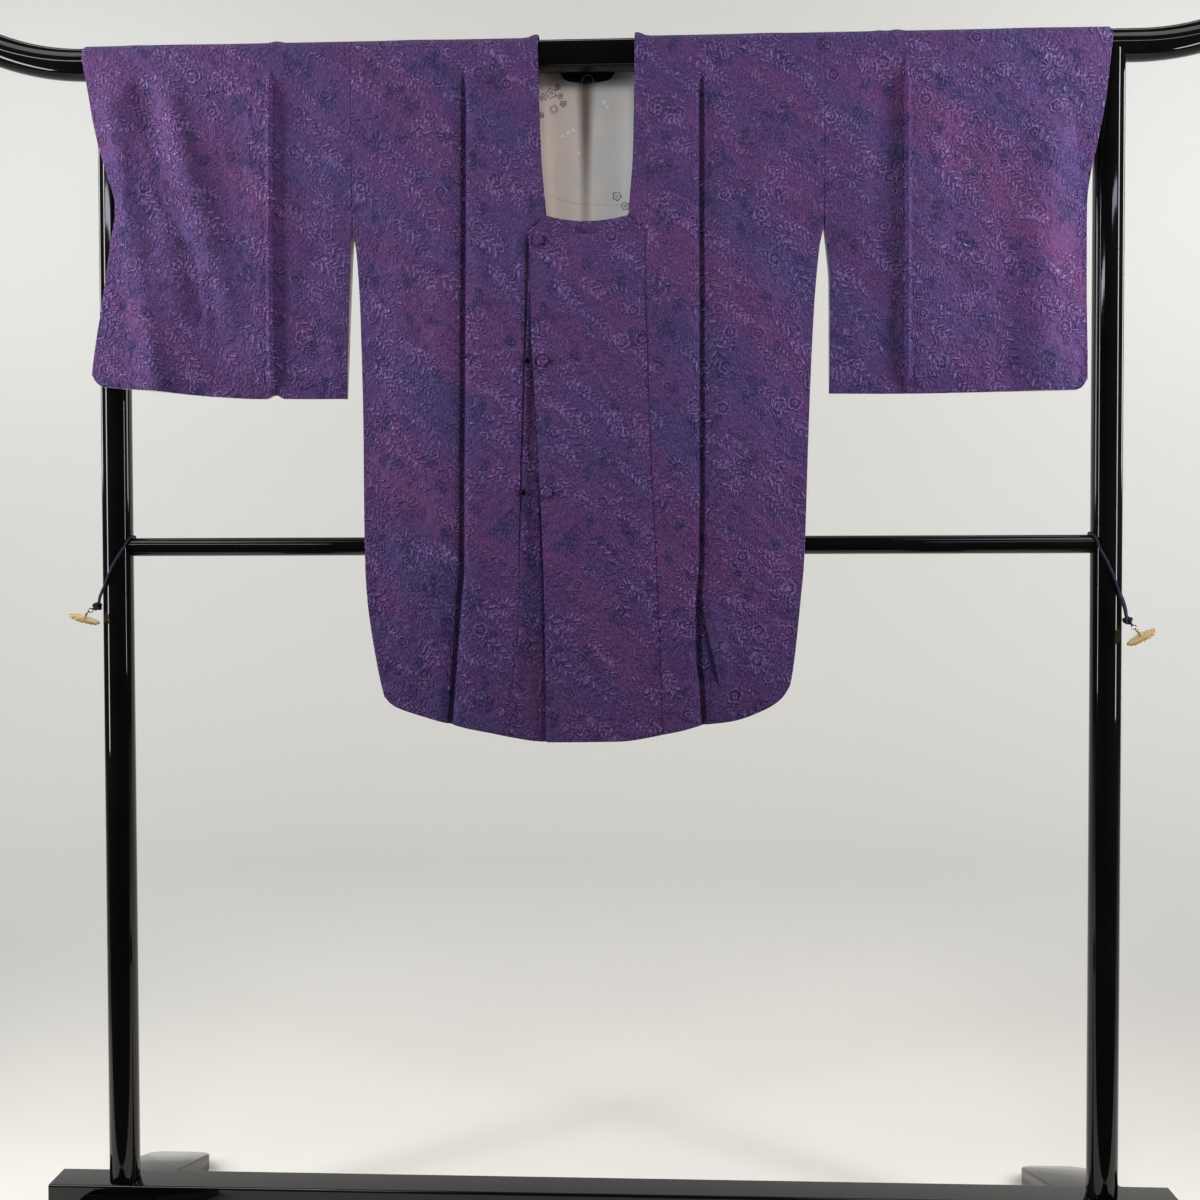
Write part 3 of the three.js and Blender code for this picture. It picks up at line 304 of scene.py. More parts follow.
def cord_route(sign, knot_height, count=150):
    """The loop from the knot up round the post's front, over the rail and down behind the post."""
    top = RAIL_HEIGHT + RAIL_RADIUS + CORD_DIAMETER / 2 + 0.8
    bottom = knot_height + KNOT_GAP
    start, end = KNOT_BEARING - 8, -(360 - KNOT_BEARING) + 8
    route = []
    for t in np.linspace(0, 1, count):
        angle = start + (end - start) * t
        away = abs(angle) / (start if angle > 0 else -end)
        near_knot = min(1, max(0, (away - 0.78) / 0.22))
        swell = CORD_REACH * (1 + CORD_SWELL * near_knot * near_knot * (3 - 2 * near_knot))
        y = -swell * math.sin(math.radians(angle))
        over_rail = RAIL_HEIGHT + math.sqrt(max(0, (top - RAIL_HEIGHT) ** 2 - y * y))
        height = top + (bottom - top) * away ** 1.6
        route.append((sign * (POST_X - swell * math.cos(math.radians(angle))), y,
                      max(height, over_rail if abs(angle) < 45 else 0)))
    return route


# One petal: its section, domed above and flatter below, at places along its length.
PETAL_SECTION = ((1, 0), (0.7, 0.7), (0, 1), (-0.7, 0.7), (-1, 0), (-0.7, -0.5), (0, -0.6), (0.7, -0.5))
PETAL_LINE = ((0, 0.5), (0.25, 0.8), (0.5, 1), (0.75, 1), (0.92, 0.72), (1, 0.25))
petal_points, petal_faces = skin([
    [(PETAL_LENGTH * t, PETAL_HALF_WIDTH * w * math.sin(math.pi * min(1, 0.12 + t)) * c, PETAL_RISE * s * w)
     for c, s in PETAL_SECTION]
    for t, w in PETAL_LINE
])
petal_mesh = bpy.data.meshes.new("petal")
petal_mesh.from_pydata(petal_points, [], petal_faces)
petal_object = bpy.data.objects.new("petal", petal_mesh)
petal_tree = petal_ring_tree()
petal_rings = [
    (grown(petal_tree, {"Petal": petal_object, "Count": count, "Ring Radius": reach, "Finish": gilt}), rise)
    for count, reach, rise in ((PETALS, 0.0118, -2.9), (INNER_PETALS, 0.0045, -4.3))
]
bpy.data.objects.remove(petal_object)

for k, side in enumerate(CORDS["side"]):
    sign, height, tilt = CORDS["sign"][k], CORDS["knot_height"][k], math.radians(CORDS["tilt"][k])
    reach = CORD_REACH * (1 + CORD_SWELL) + 2
    bearing = math.radians(KNOT_BEARING)
    centre = np.array((sign * (POST_X - reach * math.cos(bearing)), -reach * math.sin(bearing),
                       height - CORDS["sink"][k]))
    plate = centre + CORDS["hang"][k]
    tip_up = np.array((math.sin(tilt), 0, math.cos(tilt)))
    low = plate + tip_up * 7.2
    drop_axis = low - centre
    span = np.linalg.norm(drop_axis)
    drop_axis /= span

    route = cord_route(sign, height)
    points, faces, uv = tube(route, CORD_DIAMETER / 2, 12)
    cord_piece = piece(f"braided_cord_{side}", points, faces, [braid], uv)
    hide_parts(f"cord_{side}")

    # The knot is the cord itself, wound over and under: a torus knot about the drop's axis.
    across = np.cross(drop_axis, (0, 1, 0))
    across /= np.linalg.norm(across)
    through = np.cross(drop_axis, across)
    wound = []
    for t in np.linspace(0, 2 * math.pi, 150, endpoint=False):
        r = 3.3 + 1.5 * math.cos(3 * t)
        wound.append(centre + drop_axis * (-0.6 + 3.6 * math.sin(3 * t))
                     + across * r * math.cos(2 * t) + through * r * math.sin(2 * t))
    points, faces, uv = tube(wound, 1.6, 10, closed=True)
    tail = [centre + drop_axis * d for d in np.linspace(-6.4, span * 0.5, 14)]
    more, more_faces, more_uv = tube(tail, 1.5, 10, taper=1.4)
    faces = faces + [tuple(i + len(points) for i in f) for f in more_faces]
    knot_piece = piece(f"cord_knot_{side}", points + more, faces, [braid], uv + more_uv)
    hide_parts(f"knot_{side}")

    # Two wire rings, one through the other, join the knot to the medallion's shank.
    ring_points, ring_faces = [], []
    for place, radius, turn in ((0.6, 2.9, 0), (0.86, 2.6, math.pi / 2)):
        middle = centre + drop_axis * span * place
        a = across * math.cos(turn) + through * math.sin(turn)
        loop = [middle + radius * (math.cos(t) * a + math.sin(t) * drop_axis)
                for t in np.linspace(0, 2 * math.pi, 28, endpoint=False)]
        more, more_faces, _ = tube(loop, 0.75, 8, closed=True)
        ring_faces += [tuple(i + len(ring_points) for i in f) for f in more_faces]
        ring_points += more
    rings_piece = piece(f"knot_rings_{side}", ring_points, ring_faces, [nickel])

    # The medallion: a thin dished plate with a scalloped rim and two rings of raised petals.
    sides = PETALS * 8
    frame_x = np.array((math.cos(tilt), 0, -math.sin(tilt)))
    frame_y = np.array((0, 1, 0))

    def plate_ring(scale, rise, scallop):
        ring = []
        for t in np.arange(sides) / sides * 2 * math.pi:
            r = scale * (MEDALLION_RADIUS - scallop * 2.2 * (0.5 + 0.5 * math.cos(PETALS * t)) ** 2)
            ring.append(plate + r * math.cos(t) * frame_x + r * math.sin(t) * frame_y + tip_up * rise)
        return ring

    profile = ((0.07, 6.6, 0), (0.11, 6.3, 0), (0.12, 5, 0), (0.08, 4.2, 0), (0.1, 2.4, 0), (0.2, 1, 0),
               (0.4, 0.7, 0), (0.8, 0.5, 0.6), (0.96, 0.3, 1), (1, -0.3, 1), (1, -1.2, 1), (0.97, -1.6, 1),
               (0.8, -2.6, 0.7), (0.5, -4.1, 0.2), (0.3, -4.9, 0), (0.1, -5.2, 0))
    points, faces = skin([plate_ring(*row) for row in profile][::-1])
    plain = len(faces)
    for mesh, rise in petal_rings:
        base = len(points)
        for v in mesh.vertices:
            p = np.array(v.co) / MM
            points.append(tuple(plate + p[0] * frame_x + p[1] * frame_y + tip_up * (rise - p[2])))
        faces += [tuple(i + base for i in reversed(f.vertices)) for f in mesh.polygons]
    which = [1] * plain + [0] * (len(faces) - plain)
    medallion_piece = piece(f"gilt_medallion_{side}", points, faces, [gilt, rib_shaded_gilt],
                            which=which)
    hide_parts(f"medallion_{side}")

# ------------------------------------------------------------------ the stand
# Turned and planed softwood under many coats of black lacquer, rubbed down and polished, so
# that it shows sharp reflections. Two posts stand on a square beam let into two sloping feet;
# a rail joins them half way, and the bar that takes the coat lies in the posts' coped tops.
BAR = {"radius": 20.0, "height": 1554.0, "half": 850.0, "bend_from": 678.0, "bend_radius": 334.0}
FIT_GAP, SEAM_GAP = 0.3, 0.02
BEAM_TOP = 78.0
CRISP = math.radians(35)

lacquer, tree, shader = new_finish("polished black lacquer", IOR=1.45)
place = add(tree, "ShaderNodeTexCoord").outputs["Object"]
haze = add(tree, "ShaderNodeTexNoise", {"Vector": place, "Scale": 9, "Detail": 6})
rub = add(tree, "ShaderNodeMapRange", (haze, 0.3, 0.7, 0.035, 0.075))
depth = stops(add(tree, "ShaderNodeValToRGB", {"Fac": haze}), (0.3, "#040405"), (0.8, "#0A0809"))
flow = add(tree, "ShaderNodeTexNoise", {"Vector": place, "Scale": 60, "Detail": 2})
skin_bump = add(tree, "ShaderNodeBump", {"Height": flow, "Strength": 0.03, "Distance": 0.001})
tree.links.new(rub.outputs[0], shader.inputs["Roughness"])
tree.links.new(depth.outputs[0], shader.inputs["Base Color"])
tree.links.new(skin_bump.outputs[0], shader.inputs["Normal"])


def stand_piece(name, rings, node):
    """A turned part of the stand, from rings along it, its cut ends kept crisp."""
    points, faces = skin(rings)
    made = piece(name, points, faces, [lacquer])
    made.data.set_sharp_from_angle(angle=CRISP)
    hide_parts(node)


# The top bar: straight between the posts, its ends steamed to an upward curve and rounded off.
bend_angle = math.asin((BAR["half"] - BAR["bend_from"]) / BAR["bend_radius"])
bar_line = [(x, 0.0, 0.0, 1.0) for x in np.linspace(0, BAR["bend_from"], 24)]
for angle in np.linspace(0, bend_angle, 22)[1:]:
    bar_line.append((BAR["bend_from"] + BAR["bend_radius"] * math.sin(angle),
                     BAR["bend_radius"] * (1 - math.cos(angle)), angle, 1.0))
tip_x, tip_z, tip_angle, _ = bar_line[-1]
for turn in (15, 30, 45, 60, 72, 82):
    out = BAR["radius"] * 0.6 * math.sin(math.radians(turn))
    bar_line.append((tip_x + out * math.cos(tip_angle), tip_z + out * math.sin(tip_angle), tip_angle,
                     math.cos(math.radians(turn))))
mirrored = [(-x, z, -angle, scale) for x, z, angle, scale in bar_line[:0:-1]]
bar_rings = []
for x, z, angle, scale in mirrored + bar_line:
    turns = np.arange(64) / 64 * 2 * math.pi
    rise = BAR["radius"] * scale * np.cos(turns)
    bar_rings.append(np.stack([x - rise * math.sin(angle), -BAR["radius"] * scale * np.sin(turns),
                               BAR["height"] + z + rise * math.cos(angle)], 1))
stand_piece("lacquered_top_bar", bar_rings, "stand_top_bar")

# The posts: round, eased at the foot, their tops hollowed to the bar's curve.
for side, sign in (("right", -1), ("left", 1)):
    turns = np.arange(64) / 64 * 2 * math.pi
    x, y = POST_RADIUS * np.cos(turns), POST_RADIUS * np.sin(turns)
    saddle = BAR["radius"] + FIT_GAP
    rings = [np.stack([sign * POST_X + x * 0.96, y * 0.96, 0 * x + BEAM_TOP + FIT_GAP], 1),
             np.stack([sign * POST_X + x, y, 0 * x + BEAM_TOP + FIT_GAP + 0.7], 1)]
    for share in np.linspace(0.02, 1, 30):
        top = BAR["height"] - np.sqrt(saddle ** 2 - y ** 2)
        rings.append(np.stack([sign * POST_X + x, y, BEAM_TOP + 1 + (top - BEAM_TOP - 1) * share], 1))
    for scale in (0.97, 0.8, 0.6, 0.4, 0.2):
        top = BAR["height"] - np.sqrt(saddle ** 2 - (y * scale) ** 2)
        rings.append(np.stack([sign * POST_X + x * scale, y * scale, top], 1))
    stand_piece(f"lacquered_post_{side}", rings, f"stand_post_{side}")

# The middle rail, its ends hollowed to the posts.
turns = np.arange(48) / 48 * 2 * math.pi
y, z = RAIL_RADIUS * np.cos(turns), RAIL_HEIGHT + RAIL_RADIUS * np.sin(turns)
rail_end = POST_X - np.sqrt((POST_RADIUS + FIT_GAP) ** 2 - y ** 2)
stand_piece("lacquered_rail", [np.stack([rail_end * t, y, z], 1) for t in np.linspace(-1, 1, 25)],
            "stand_rail")


def eased_copy(name, node, ease):
    """A copy of a square-cut solid with its points joined and its edges eased by sanding."""
    made = bpy.data.objects.new(name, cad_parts[node].data.copy())
    bpy.context.scene.collection.objects.link(made)
    weld = made.modifiers.new("weld", "WELD")
    weld.merge_threshold = 0.00001
    merge = made.modifiers.new("flats", "DECIMATE")
    merge.decimate_type, merge.angle_limit = "DISSOLVE", math.radians(1)
    edge = made.modifiers.new("ease", "BEVEL")
    edge.width, edge.segments = ease * MM, 3
    edge.limit_method, edge.angle_limit = "ANGLE", math.radians(28)
    bpy.context.view_layer.update()
    mesh = bpy.data.meshes.new_from_object(made.evaluated_get(bpy.context.evaluated_depsgraph_get()))
    made.modifiers.clear()
    made.data = mesh
    mesh.materials.clear()
    mesh.materials.append(lacquer)
    mesh.polygons.foreach_set("use_smooth", np.ones(len(mesh.polygons), bool))
    mesh.set_sharp_from_angle(angle=CRISP)
    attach(made, "root")
    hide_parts(node)


eased_copy("lacquered_beam", "stand_beam", 1.2)
eased_copy("lacquered_foot_right", "stand_foot_right", 2.0)
eased_copy("lacquered_foot_left", "stand_foot_left", 2.0)

# ------------------------------------------------------------------ how the cloth hangs
# The coat's cut and hang. Its straight loom widths hang from the bar in two layers. The body is
# a shallow tube closed at the side seams; it swings forward because its back lies on the rail.
WRAP = BAR["radius"] + 0.6
QUARTER = WRAP * math.pi / 2
OVER_BAR = WRAP - FIT_GAP / 2
CENTRE_X = -21.0
LAP_STEP, CLOTH_WALL = 2.8, 1.8
# Half the depth of the hanging tube, in its middle and at its edges, and where its middle lies in y.
BODY_DEPTH = {
    "drop": (0, 56, 80, 150, 232, 330, 450, 600, 680, 900),
    "half": (OVER_BAR, 20.2, 20, 19, 17.5, 16, 14, 12, 11.6, 11),
    "edge": (OVER_BAR, 19.4, 18.5, 14.5, 7, 0.1, 0, 0, 0, 0),
    "middle": (0, -0.2, -1.2, -3.8, -8, -13.5, -20, -28.6, -28.6, -27),
}
SLEEVE_DEPTH = {
    "drop": (0, 56, 80, 150, 196, 232, 330, 400, 442),
    "half": (OVER_BAR, OVER_BAR, 20, 17, 14.5, 13, 9, 6, 0),
    "inner": (OVER_BAR, 19.4, 18.5, 14.5, 10, 7, 4.5, 3.4, 0),
    "cuff": (OVER_BAR, OVER_BAR, 19.5, 9, 0.6, 0.1, 0, 0, 0),
    "middle": (0, -0.2, -1.2, -3.8, -6, -8, -9.5, -10, -10),
}
# Where lines of the cloth lie: x by drop below the bar, and the hems' drop by x.
BODY_LINES = {
    "right": {
        "drop": (0, 225, 252, 345, 516, 660, 702, 780, 827, 872),
        "side": (-323.6, -323.6, -319.5, -314.4, -309.2, -307.2, -304.8, -293.9, -283.7, -266),
        "crease": (-178.5, -179, -179, -179.3, -179.7, -180.5, -184, -190.5, -194.5, -197.5),
    },
    "left": {
        "drop": (0, 225, 252, 345, 516, 660, 702, 780, 811, 872),
        "side": (281, 281, 276.2, 268.4, 260.2, 254.8, 251, 243, 238, 212),
        "crease": (126.3, 126, 126, 126, 125.8, 124.5, 121.5, 121, 125, 128),
    },
}
FRONT_SEAMS = {
    "right": {"drop": (0, 233, 320, 397, 566, 728, 877),
              "x": (-96, -95.6, -97.6, -100.6, -105.2, -108.1, -126.5)},
    "left": {"drop": (0, 245, 448, 576, 703, 877), "x": (54, 54, 58.5, 63.4, 69.7, 75.5)},
}
OVERLAP_EDGE = {"drop": (233, 358, 396, 537, 703, 886), "x": (-92.6, -91.2, -89.4, -80.8, -74.7, -72.6)}
UNDERLAP_EDGE = {"drop": (233, 886), "x": (44, 46)}
BODY_HEM = {
    "x": (-283, -276, -266, -216, -149, -73, 17, 92, 128, 168, 208, 228, 238),
    "drop": (828, 836, 842, 857, 872, 884, 883, 871, 862, 856.5, 842, 828, 812),
}
SLEEVE_HEMS = {
    "right": {"x": (-665, -661, -652, -588, -508, -440, -428, -416, -330),
              "drop": (410, 418, 424, 430, 437, 440.3, 435.5, 440.3, 441)},
    "left": {"x": (288, 387, 504, 600, 609, 614), "drop": (439, 440, 438.5, 437, 433, 424)},
}
SLEEVE_LINES = {
    "right": {
        "drop": (0, 50, 80, 111, 150, 173, 189, 204, 230, 312, 406, 442),
        "front": (-675.5, -666.4, -661.5, -655.3, -643, -635, -631.5, -632.6, -637.5, -650.6, -665.5,
                  -668),
        "back": (-675.5, -650, -620.5, -620, -620, -620, -627, -632.6, -637.5, -650.6, -665.5, -668),
        "inner": (-323.75,) * 8 + (-325.5, -329, -332.4, -333.4),
        "fold": (-428, -428, -428.3, -428.6, -429, -429, -429, -429.3, -429.6, -430, -430.5, -430.7),
    },
    "left": {
        "drop": (0, 60, 100, 131, 161, 206, 232, 300, 416, 442),
        "front": (640, 633.5, 628, 623, 617.6, 614, 613.5, 613.4, 615, 615),
        "back": (640, 630, 620, 617, 615, 614, 613.5, 613.4, 615, 615),
        "inner": (281.15,) * 6 + (283.5, 289, 289.2, 289),
        "fold": (383.5, 383.7, 384, 384.3, 384.5, 384.8, 385, 385.4, 386, 386.2),
    },
}
# Where the cloth is gathered over the bar.
PUCKERS = {
    "x": (-86, 44, -424, 374, 352, -560, 540, -240, 208, -610),
    "rise": (4.6, 5.0, 2.2, 1.8, 1, 0.6, 0.6, 0.7, 0.6, 0.7),
    "width": (9, 9, 8, 8, 7, 40, 40, 30, 26, 14),
}
# Folds from (x, drop) to (x, drop): how far the cloth swells out (+) or sinks in (-), how wide,
# and on which side it shows: -1 the front, 1 the back.
FOLDS = (
    # the long pressed folds and what lies beside them
    (-1, -203, 60, -213, 880, 15, 2), (-1, -154, 60, -170, 880, 15, 2), (-1, 101, 60, 103, 880, 15, 2),
    (-1, 151, 60, 158, 880, 15, 2), (-1, 119, 690, 147, 812, 3.4, -4.6),
    (-1, 133, 690, 158, 812, 9, 2.4), (-1, -104, 225, -114, 600, 7, 2.2),
    (-1, -640, 30, -576, 440, 17, 8.5), (-1, -602, 20, -520, 345, 16, -5.2),
    (-1, -568, 20, -484, 330, 17, 9.0), (-1, 566, 90, 560, 440, 30, 8.0),
    (-1, 505, 200, 512, 440, 17, -3.0), (-1, -622, 10, -618, 60, 12, 3.0),
    # soft troughs and ridges of the right sleeve's front
    (-1, -517, 270, -512, 380, 5, 1.4), (-1, -500, 250, -505, 420, 14, -2),
    (-1, -470, 60, -480, 240, 18, -1.6), (-1, -384, 30, -378, 420, 20, -1.6),
    (-1, -350, 120, -352, 430, 12, 1.2),
    # the left sleeve's front
    (-1, 352, 20, 350, 260, 12, -1.6), (-1, 330, 40, 322, 420, 16, 1.4),
    (-1, 452, 60, 470, 400, 26, -2), (-1, 520, 30, 540, 200, 24, 1.6),
    (-1, 590, 20, 596, 150, 12, -1.6), (-1, 430, 20, 424, 300, 12, 1.2),
    # the body's front
    (-1, -262, 40, -258, 840, 20, 1.4), (-1, -232, 240, -236, 860, 14, -1.1),
    (-1, -135, 60, -138, 560, 12, 0.9), (-1, 78, 60, 84, 620, 11, 0.9),
    (-1, 196, 50, 190, 850, 20, 1.3), (-1, 172, 250, 168, 840, 12, -1),
    (-1, 228, 60, 222, 800, 14, 0.9), (-1, -20, 270, -10, 860, 26, 0.8),
    (-1, 26, 420, 34, 870, 18, -0.7),
    # the back, of the same kind
    (1, -204, 60, -210, 870, 15, 1.8), (1, -156, 60, -164, 870, 15, 1.8),
    (1, 100, 60, 102, 870, 15, 1.8), (1, 151, 60, 156, 870, 15, 1.8), (1, -262, 40, -255, 830, 20, 1.3),
    (1, -60, 60, -66, 860, 22, 1.2), (1, 22, 60, 30, 860, 22, 1.1), (1, -21, 40, -21, 870, 9, -1.2),
    (1, 200, 60, 196, 830, 18, 1.2), (1, 456, 60, 470, 400, 24, -1.2), (1, 530, 30, 545, 380, 22, 1),
    (1, 416, 20, 412, 420, 9, -2), (1, -500, 60, -510, 380, 24, 1.1),
    (1, -380, 30, -376, 420, 18, -1.1), (1, -458, 20, -462, 420, 9, -2),
)


def curve_through(rows, key, value):
    """A smooth curve through two columns of a table that never overshoots them."""
    xs, ys = np.asarray(rows[key], float), np.asarray(rows[value], float)
    slopes = np.diff(ys) / np.diff(xs)
    before, after = np.r_[slopes[0], slopes], np.r_[slopes, slopes[-1]]
    total = before + after
    same = before * after > 0
    tangents = np.where(same, 2 * before * after / np.where(same, total, 1), 0)

    def read(at):
        at = np.clip(np.asarray(at, float), xs[0], xs[-1])
        i = np.clip(np.searchsorted(xs, at, "right") - 1, 0, len(xs) - 2)
        wide = xs[i + 1] - xs[i]
        t = (at - xs[i]) / wide
        return (ys[i] + (ys[i + 1] - ys[i]) * t * t * (3 - 2 * t)
                + tangents[i] * t * (1 - t) ** 2 * wide - tangents[i + 1] * t * t * (1 - t) * wide)
    return read


def ease(value, low, high):
    """0 below low, 1 above high, and a soft rise between; the other way round if low is above."""
    t = np.clip((np.asarray(value, float) - low) / (high - low), 0, 1)
    return t * t * (3 - 2 * t)


def bell(offset, width):
    """1 on a line, fading to 0 on both sides of it."""
    return np.exp(-(np.asarray(offset, float) / width) ** 2)


def mix(a, b, t):
    """The way from a to b, a share t of it."""
    return a + (b - a) * t


def pucker(x):
    """How far the gathered cloth lifts off the bar on top."""
    return sum(rise * bell(x - at, width) for at, rise, width in zip(*PUCKERS.values()))


def fold_at(x, drop, side):
    """How far the folds move the cloth out at a place; the soft ones sway as they fall."""
    total = 0 * x
    for row_side, top_x, top, low_x, low, width, out in FOLDS:
        t = (drop - top) / (low - top)
        sway = 2.2 * math.sin(top_x) * np.sin(3.1 * np.clip(t, 0, 1)) if abs(out) < 1.6 else 0
        fade = ease(drop, top - 12, top + 40) * (1 - ease(drop, low - 30, low + 30))
        total = total + out * fade * bell(x - mix(top_x, low_x, t) - sway, width) * (side == row_side)
    return total


BUTTON_SEATS = ((-82.5, 245), (-76.5, 399), (-71, 566))  # x, drop: top, middle, low
side_line = {k: curve_through(BODY_LINES[k], "drop", "side") for k in BODY_LINES}
crease_line = {k: curve_through(BODY_LINES[k], "drop", "crease") for k in BODY_LINES}
front_seam = {k: curve_through(FRONT_SEAMS[k], "drop", "x") for k in FRONT_SEAMS}
body_depth = {k: curve_through(BODY_DEPTH, "drop", k) for k in ("half", "edge", "middle")}
sleeve_depth = {k: curve_through(SLEEVE_DEPTH, "drop", k) for k in ("half", "inner", "cuff", "middle")}


def body_shape(x, drop, side):
    """The body's middle, its half depth, and its pressed lines, seams and folds."""
    inboard = np.minimum(x - side_line["right"](drop), side_line["left"](drop) - x)
    half = mix(body_depth["edge"](drop), body_depth["half"](drop), ease(inboard, 0, 95))
    pressed = bell(x - crease_line["right"](drop), 3.1) + bell(x - crease_line["left"](drop), 3.3)
    beside = bell(x - crease_line["right"](drop), 9) + bell(x - crease_line["left"](drop), 10)
    deep = np.where(side < 0, 1.0, 0.55) * ease(drop, 8, 70)
    # The hem's turn shows through on the outer panels, and the pocket's slit on the left one.
    below_turn = drop - mix(714.0, 724.0, ease(x, -200, 200))
    outer = np.maximum(ease(-x, 196, 206), ease(x, 106, 120))
    turned = mix(0.15, 1.0, outer) * (1.1 * bell(below_turn, 1.5) + 0.4 * ease(below_turn, -1, 1.5))
    slit = 1.6 * bell(drop - 462, 1.1) * ease(x, 197, 202) * (1 - ease(x, 262, 266))
    # The front seams are drawn in by their stitches, and so is the cloth round each button.
    seams = mix(2.0, 0.7, ease(drop, 560, 700)) * bell(x - front_seam["right"](drop), 1.7)
    seams = (seams + 0.9 * bell(x - front_seam["left"](drop), 1.5)) * ease(drop, 236, 250)
    seats = sum(1.5 * bell(np.hypot(x - at_x, drop - at_drop) - 7.5, 1.0) for at_x, at_drop in BUTTON_SEATS)
    front = np.where(side < 0, 1.0, 0.0)
    relief = fold_at(x, drop, side) - deep * (5.4 * pressed + 3.4 * beside)
    relief = relief - front * (turned + slit + seams + seats)
    return body_depth["middle"](drop), half, relief


def sleeve_shape(hand):
    """The same for one sleeve, which passes before the post at its cuff."""
    lines = {k: curve_through(SLEEVE_LINES[hand], "drop", k) for k in ("front", "back", "inner", "fold")}

    def shape(x, drop, side):
        cuff = np.where(side < 0, lines["front"](drop), lines["back"](drop))
        from_cuff, from_body = np.abs(cuff - x), np.abs(x - lines["inner"](drop))
        at_cuff = mix(sleeve_depth["cuff"](drop), sleeve_depth["half"](drop), ease(from_cuff, 0, 80))
        half = mix(sleeve_depth["inner"](drop), at_cuff, ease(from_body, 0, 90))
        middle = sleeve_depth["middle"](drop)
        if hand == "right":
            near_post = ease(np.abs(x), 500, 600) * ease(drop, 78, 168)
            middle = mix(middle, -(POST_RADIUS + CLOTH_WALL + FIT_GAP * 2), near_post)
            half = mix(half, 0.1, near_post * (1 - ease(from_cuff, 30, 110)))
        # Where the sleeve was folded for storage, the cloth steps down sharply on the inner side.
        outward = (x - lines["fold"](drop)) * (-1 if hand == "right" else 1)
        away = np.maximum(0, -outward)
        step_down = mix(6.0, -0.2, ease(away, 0, 2.6)) - 2.4 * ease(away, 1, 16) * (1 - ease(away, 16, 80))
        ridge = np.where(outward >= 0, 2.4 * bell(outward, 3.6) + 3.6 * bell(outward, 40), step_down)
        ridge = ridge * np.where(side < 0, 1.0, 0.45) * ease(drop, 8, 60) * (1 - 0.7 * ease(drop, 414, 440))
        tuck_line = drop - 50 + 9 * (x + 520) / 63 - 2 * np.sin(x / 9)
        tuck = bell(tuck_line, 2.0) * ease(x, -524, -512) * (1 - ease(x, -462, -450))
        relief = fold_at(x, drop, side) + ridge - np.where(side < 0, 1.9, 0.0) * tuck
        return middle, half, relief * np.where((relief > 0) & (side < 0), 1.0, ease(half, 0.5, 6))
    return shape


def drape(shape, x, s, lift):
    """Points of the cloth's inner face, moved out by lift."""
    x, s = np.broadcast_arrays(np.asarray(x, float), np.asarray(s, float))
    angle = np.clip(s / WRAP, -math.pi / 2, math.pi / 2)
    radius = WRAP + lift + pucker(x) * np.cos(angle) ** 2
    side = np.where(s < 0, -1.0, 1.0)
    drop = np.maximum(np.abs(s) - QUARTER, 0)
    middle, half, relief = shape(x, drop, side)
    hangs = np.abs(s) > QUARTER
    y = np.where(hangs, middle + side * (FIT_GAP / 2 + half + relief + lift), radius * np.sin(angle))
    z = np.where(hangs, BAR["height"] - drop, BAR["height"] + radius * np.cos(angle))
    return np.stack([x, y, z], -1)


OUTER, INNER = 1.75, 0.35  # how far the two faces of the cloth stand off its inner side


def cloth(name, shape, x, s, finishes, node, lift=0.0, layers=(INNER, OUTER), turn=(0, 0, 0)):
    """A shell of cloth over a grid of places, with softly rounded edges. Its first finish is the
    outer face and its edges, and its second one the inner face. The turn, in degrees and then two
    shifts, is where its pattern was cut from the loom width."""
    rows, columns = x.shape
    r, c = np.meshgrid(np.arange(rows), np.arange(columns), indexing="ij")
    from_edge = np.minimum(np.minimum(r, rows - 1 - r), np.minimum(c, columns - 1 - c))
    pinch = np.where(from_edge == 0, 0.22, np.where(from_edge == 1, 0.04, 0)) * (layers[1] - layers[0])
    low = drape(shape, x, s, lift + layers[0] + pinch)
    high = drape(shape, x, s, lift + layers[1] - pinch)
    points = np.concatenate([low.reshape(-1, 3), high.reshape(-1, 3)])
    index = np.arange(rows * columns).reshape(rows, columns)
    corners = [g.ravel() for g in (index[:-1, :-1], index[:-1, 1:], index[1:, 1:], index[1:, :-1])]
    n = rows * columns
    under = np.stack(corners, 1)
    border = np.concatenate([index[0, :-1], index[:-1, -1], index[-1, :0:-1], index[:0:-1, 0]])
    after = np.roll(border, -1)
    faces = np.concatenate([under, under[:, (0, 3, 2, 1)] + n,
                            np.stack([after, border, border + n, after + n], 1)])
    which = np.concatenate([np.ones(len(under), int), np.zeros(len(under) + len(border), int)])
    volume = np.einsum("ij,ij->", points[faces[:, 0]], np.cross(points[faces[:, 1]], points[faces[:, 2]]))
    if volume < 0:
        faces = faces[:, ::-1]
    angle = math.radians(turn[0])
    flat = np.stack([x * math.cos(angle) - s * math.sin(angle) + turn[1],
                     x * math.sin(angle) + s * math.cos(angle) + turn[2]], -1).reshape(-1, 2)
    made = piece(name, points, faces, finishes, np.concatenate([flat, flat]), which)
    tint = np.tile(dye(x, s).ravel(), 2).astype(np.float32)
    made.data.attributes.new("dye", "FLOAT", "POINT").data.foreach_set("value", tint)
    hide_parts(node)
    return made


def stations(length, step, fine_ends=(True, True), dense=()):
    """Shares of a length, a step apart, closer at the ends and over each dense stretch."""
    at = list(np.linspace(0, length, max(2, round(length / step)) + 1))
    if fine_ends[0]:
        at += [0.8, 2.2]
    if fine_ends[1]:
        at += [length - 0.8, length - 2.2]
    for low, high, pitch in dense:
        at = [a for a in at if not low < a < high] + list(np.arange(low, high, pitch))
    return np.unique(np.round(np.clip(at, 0, length), 3)) / length


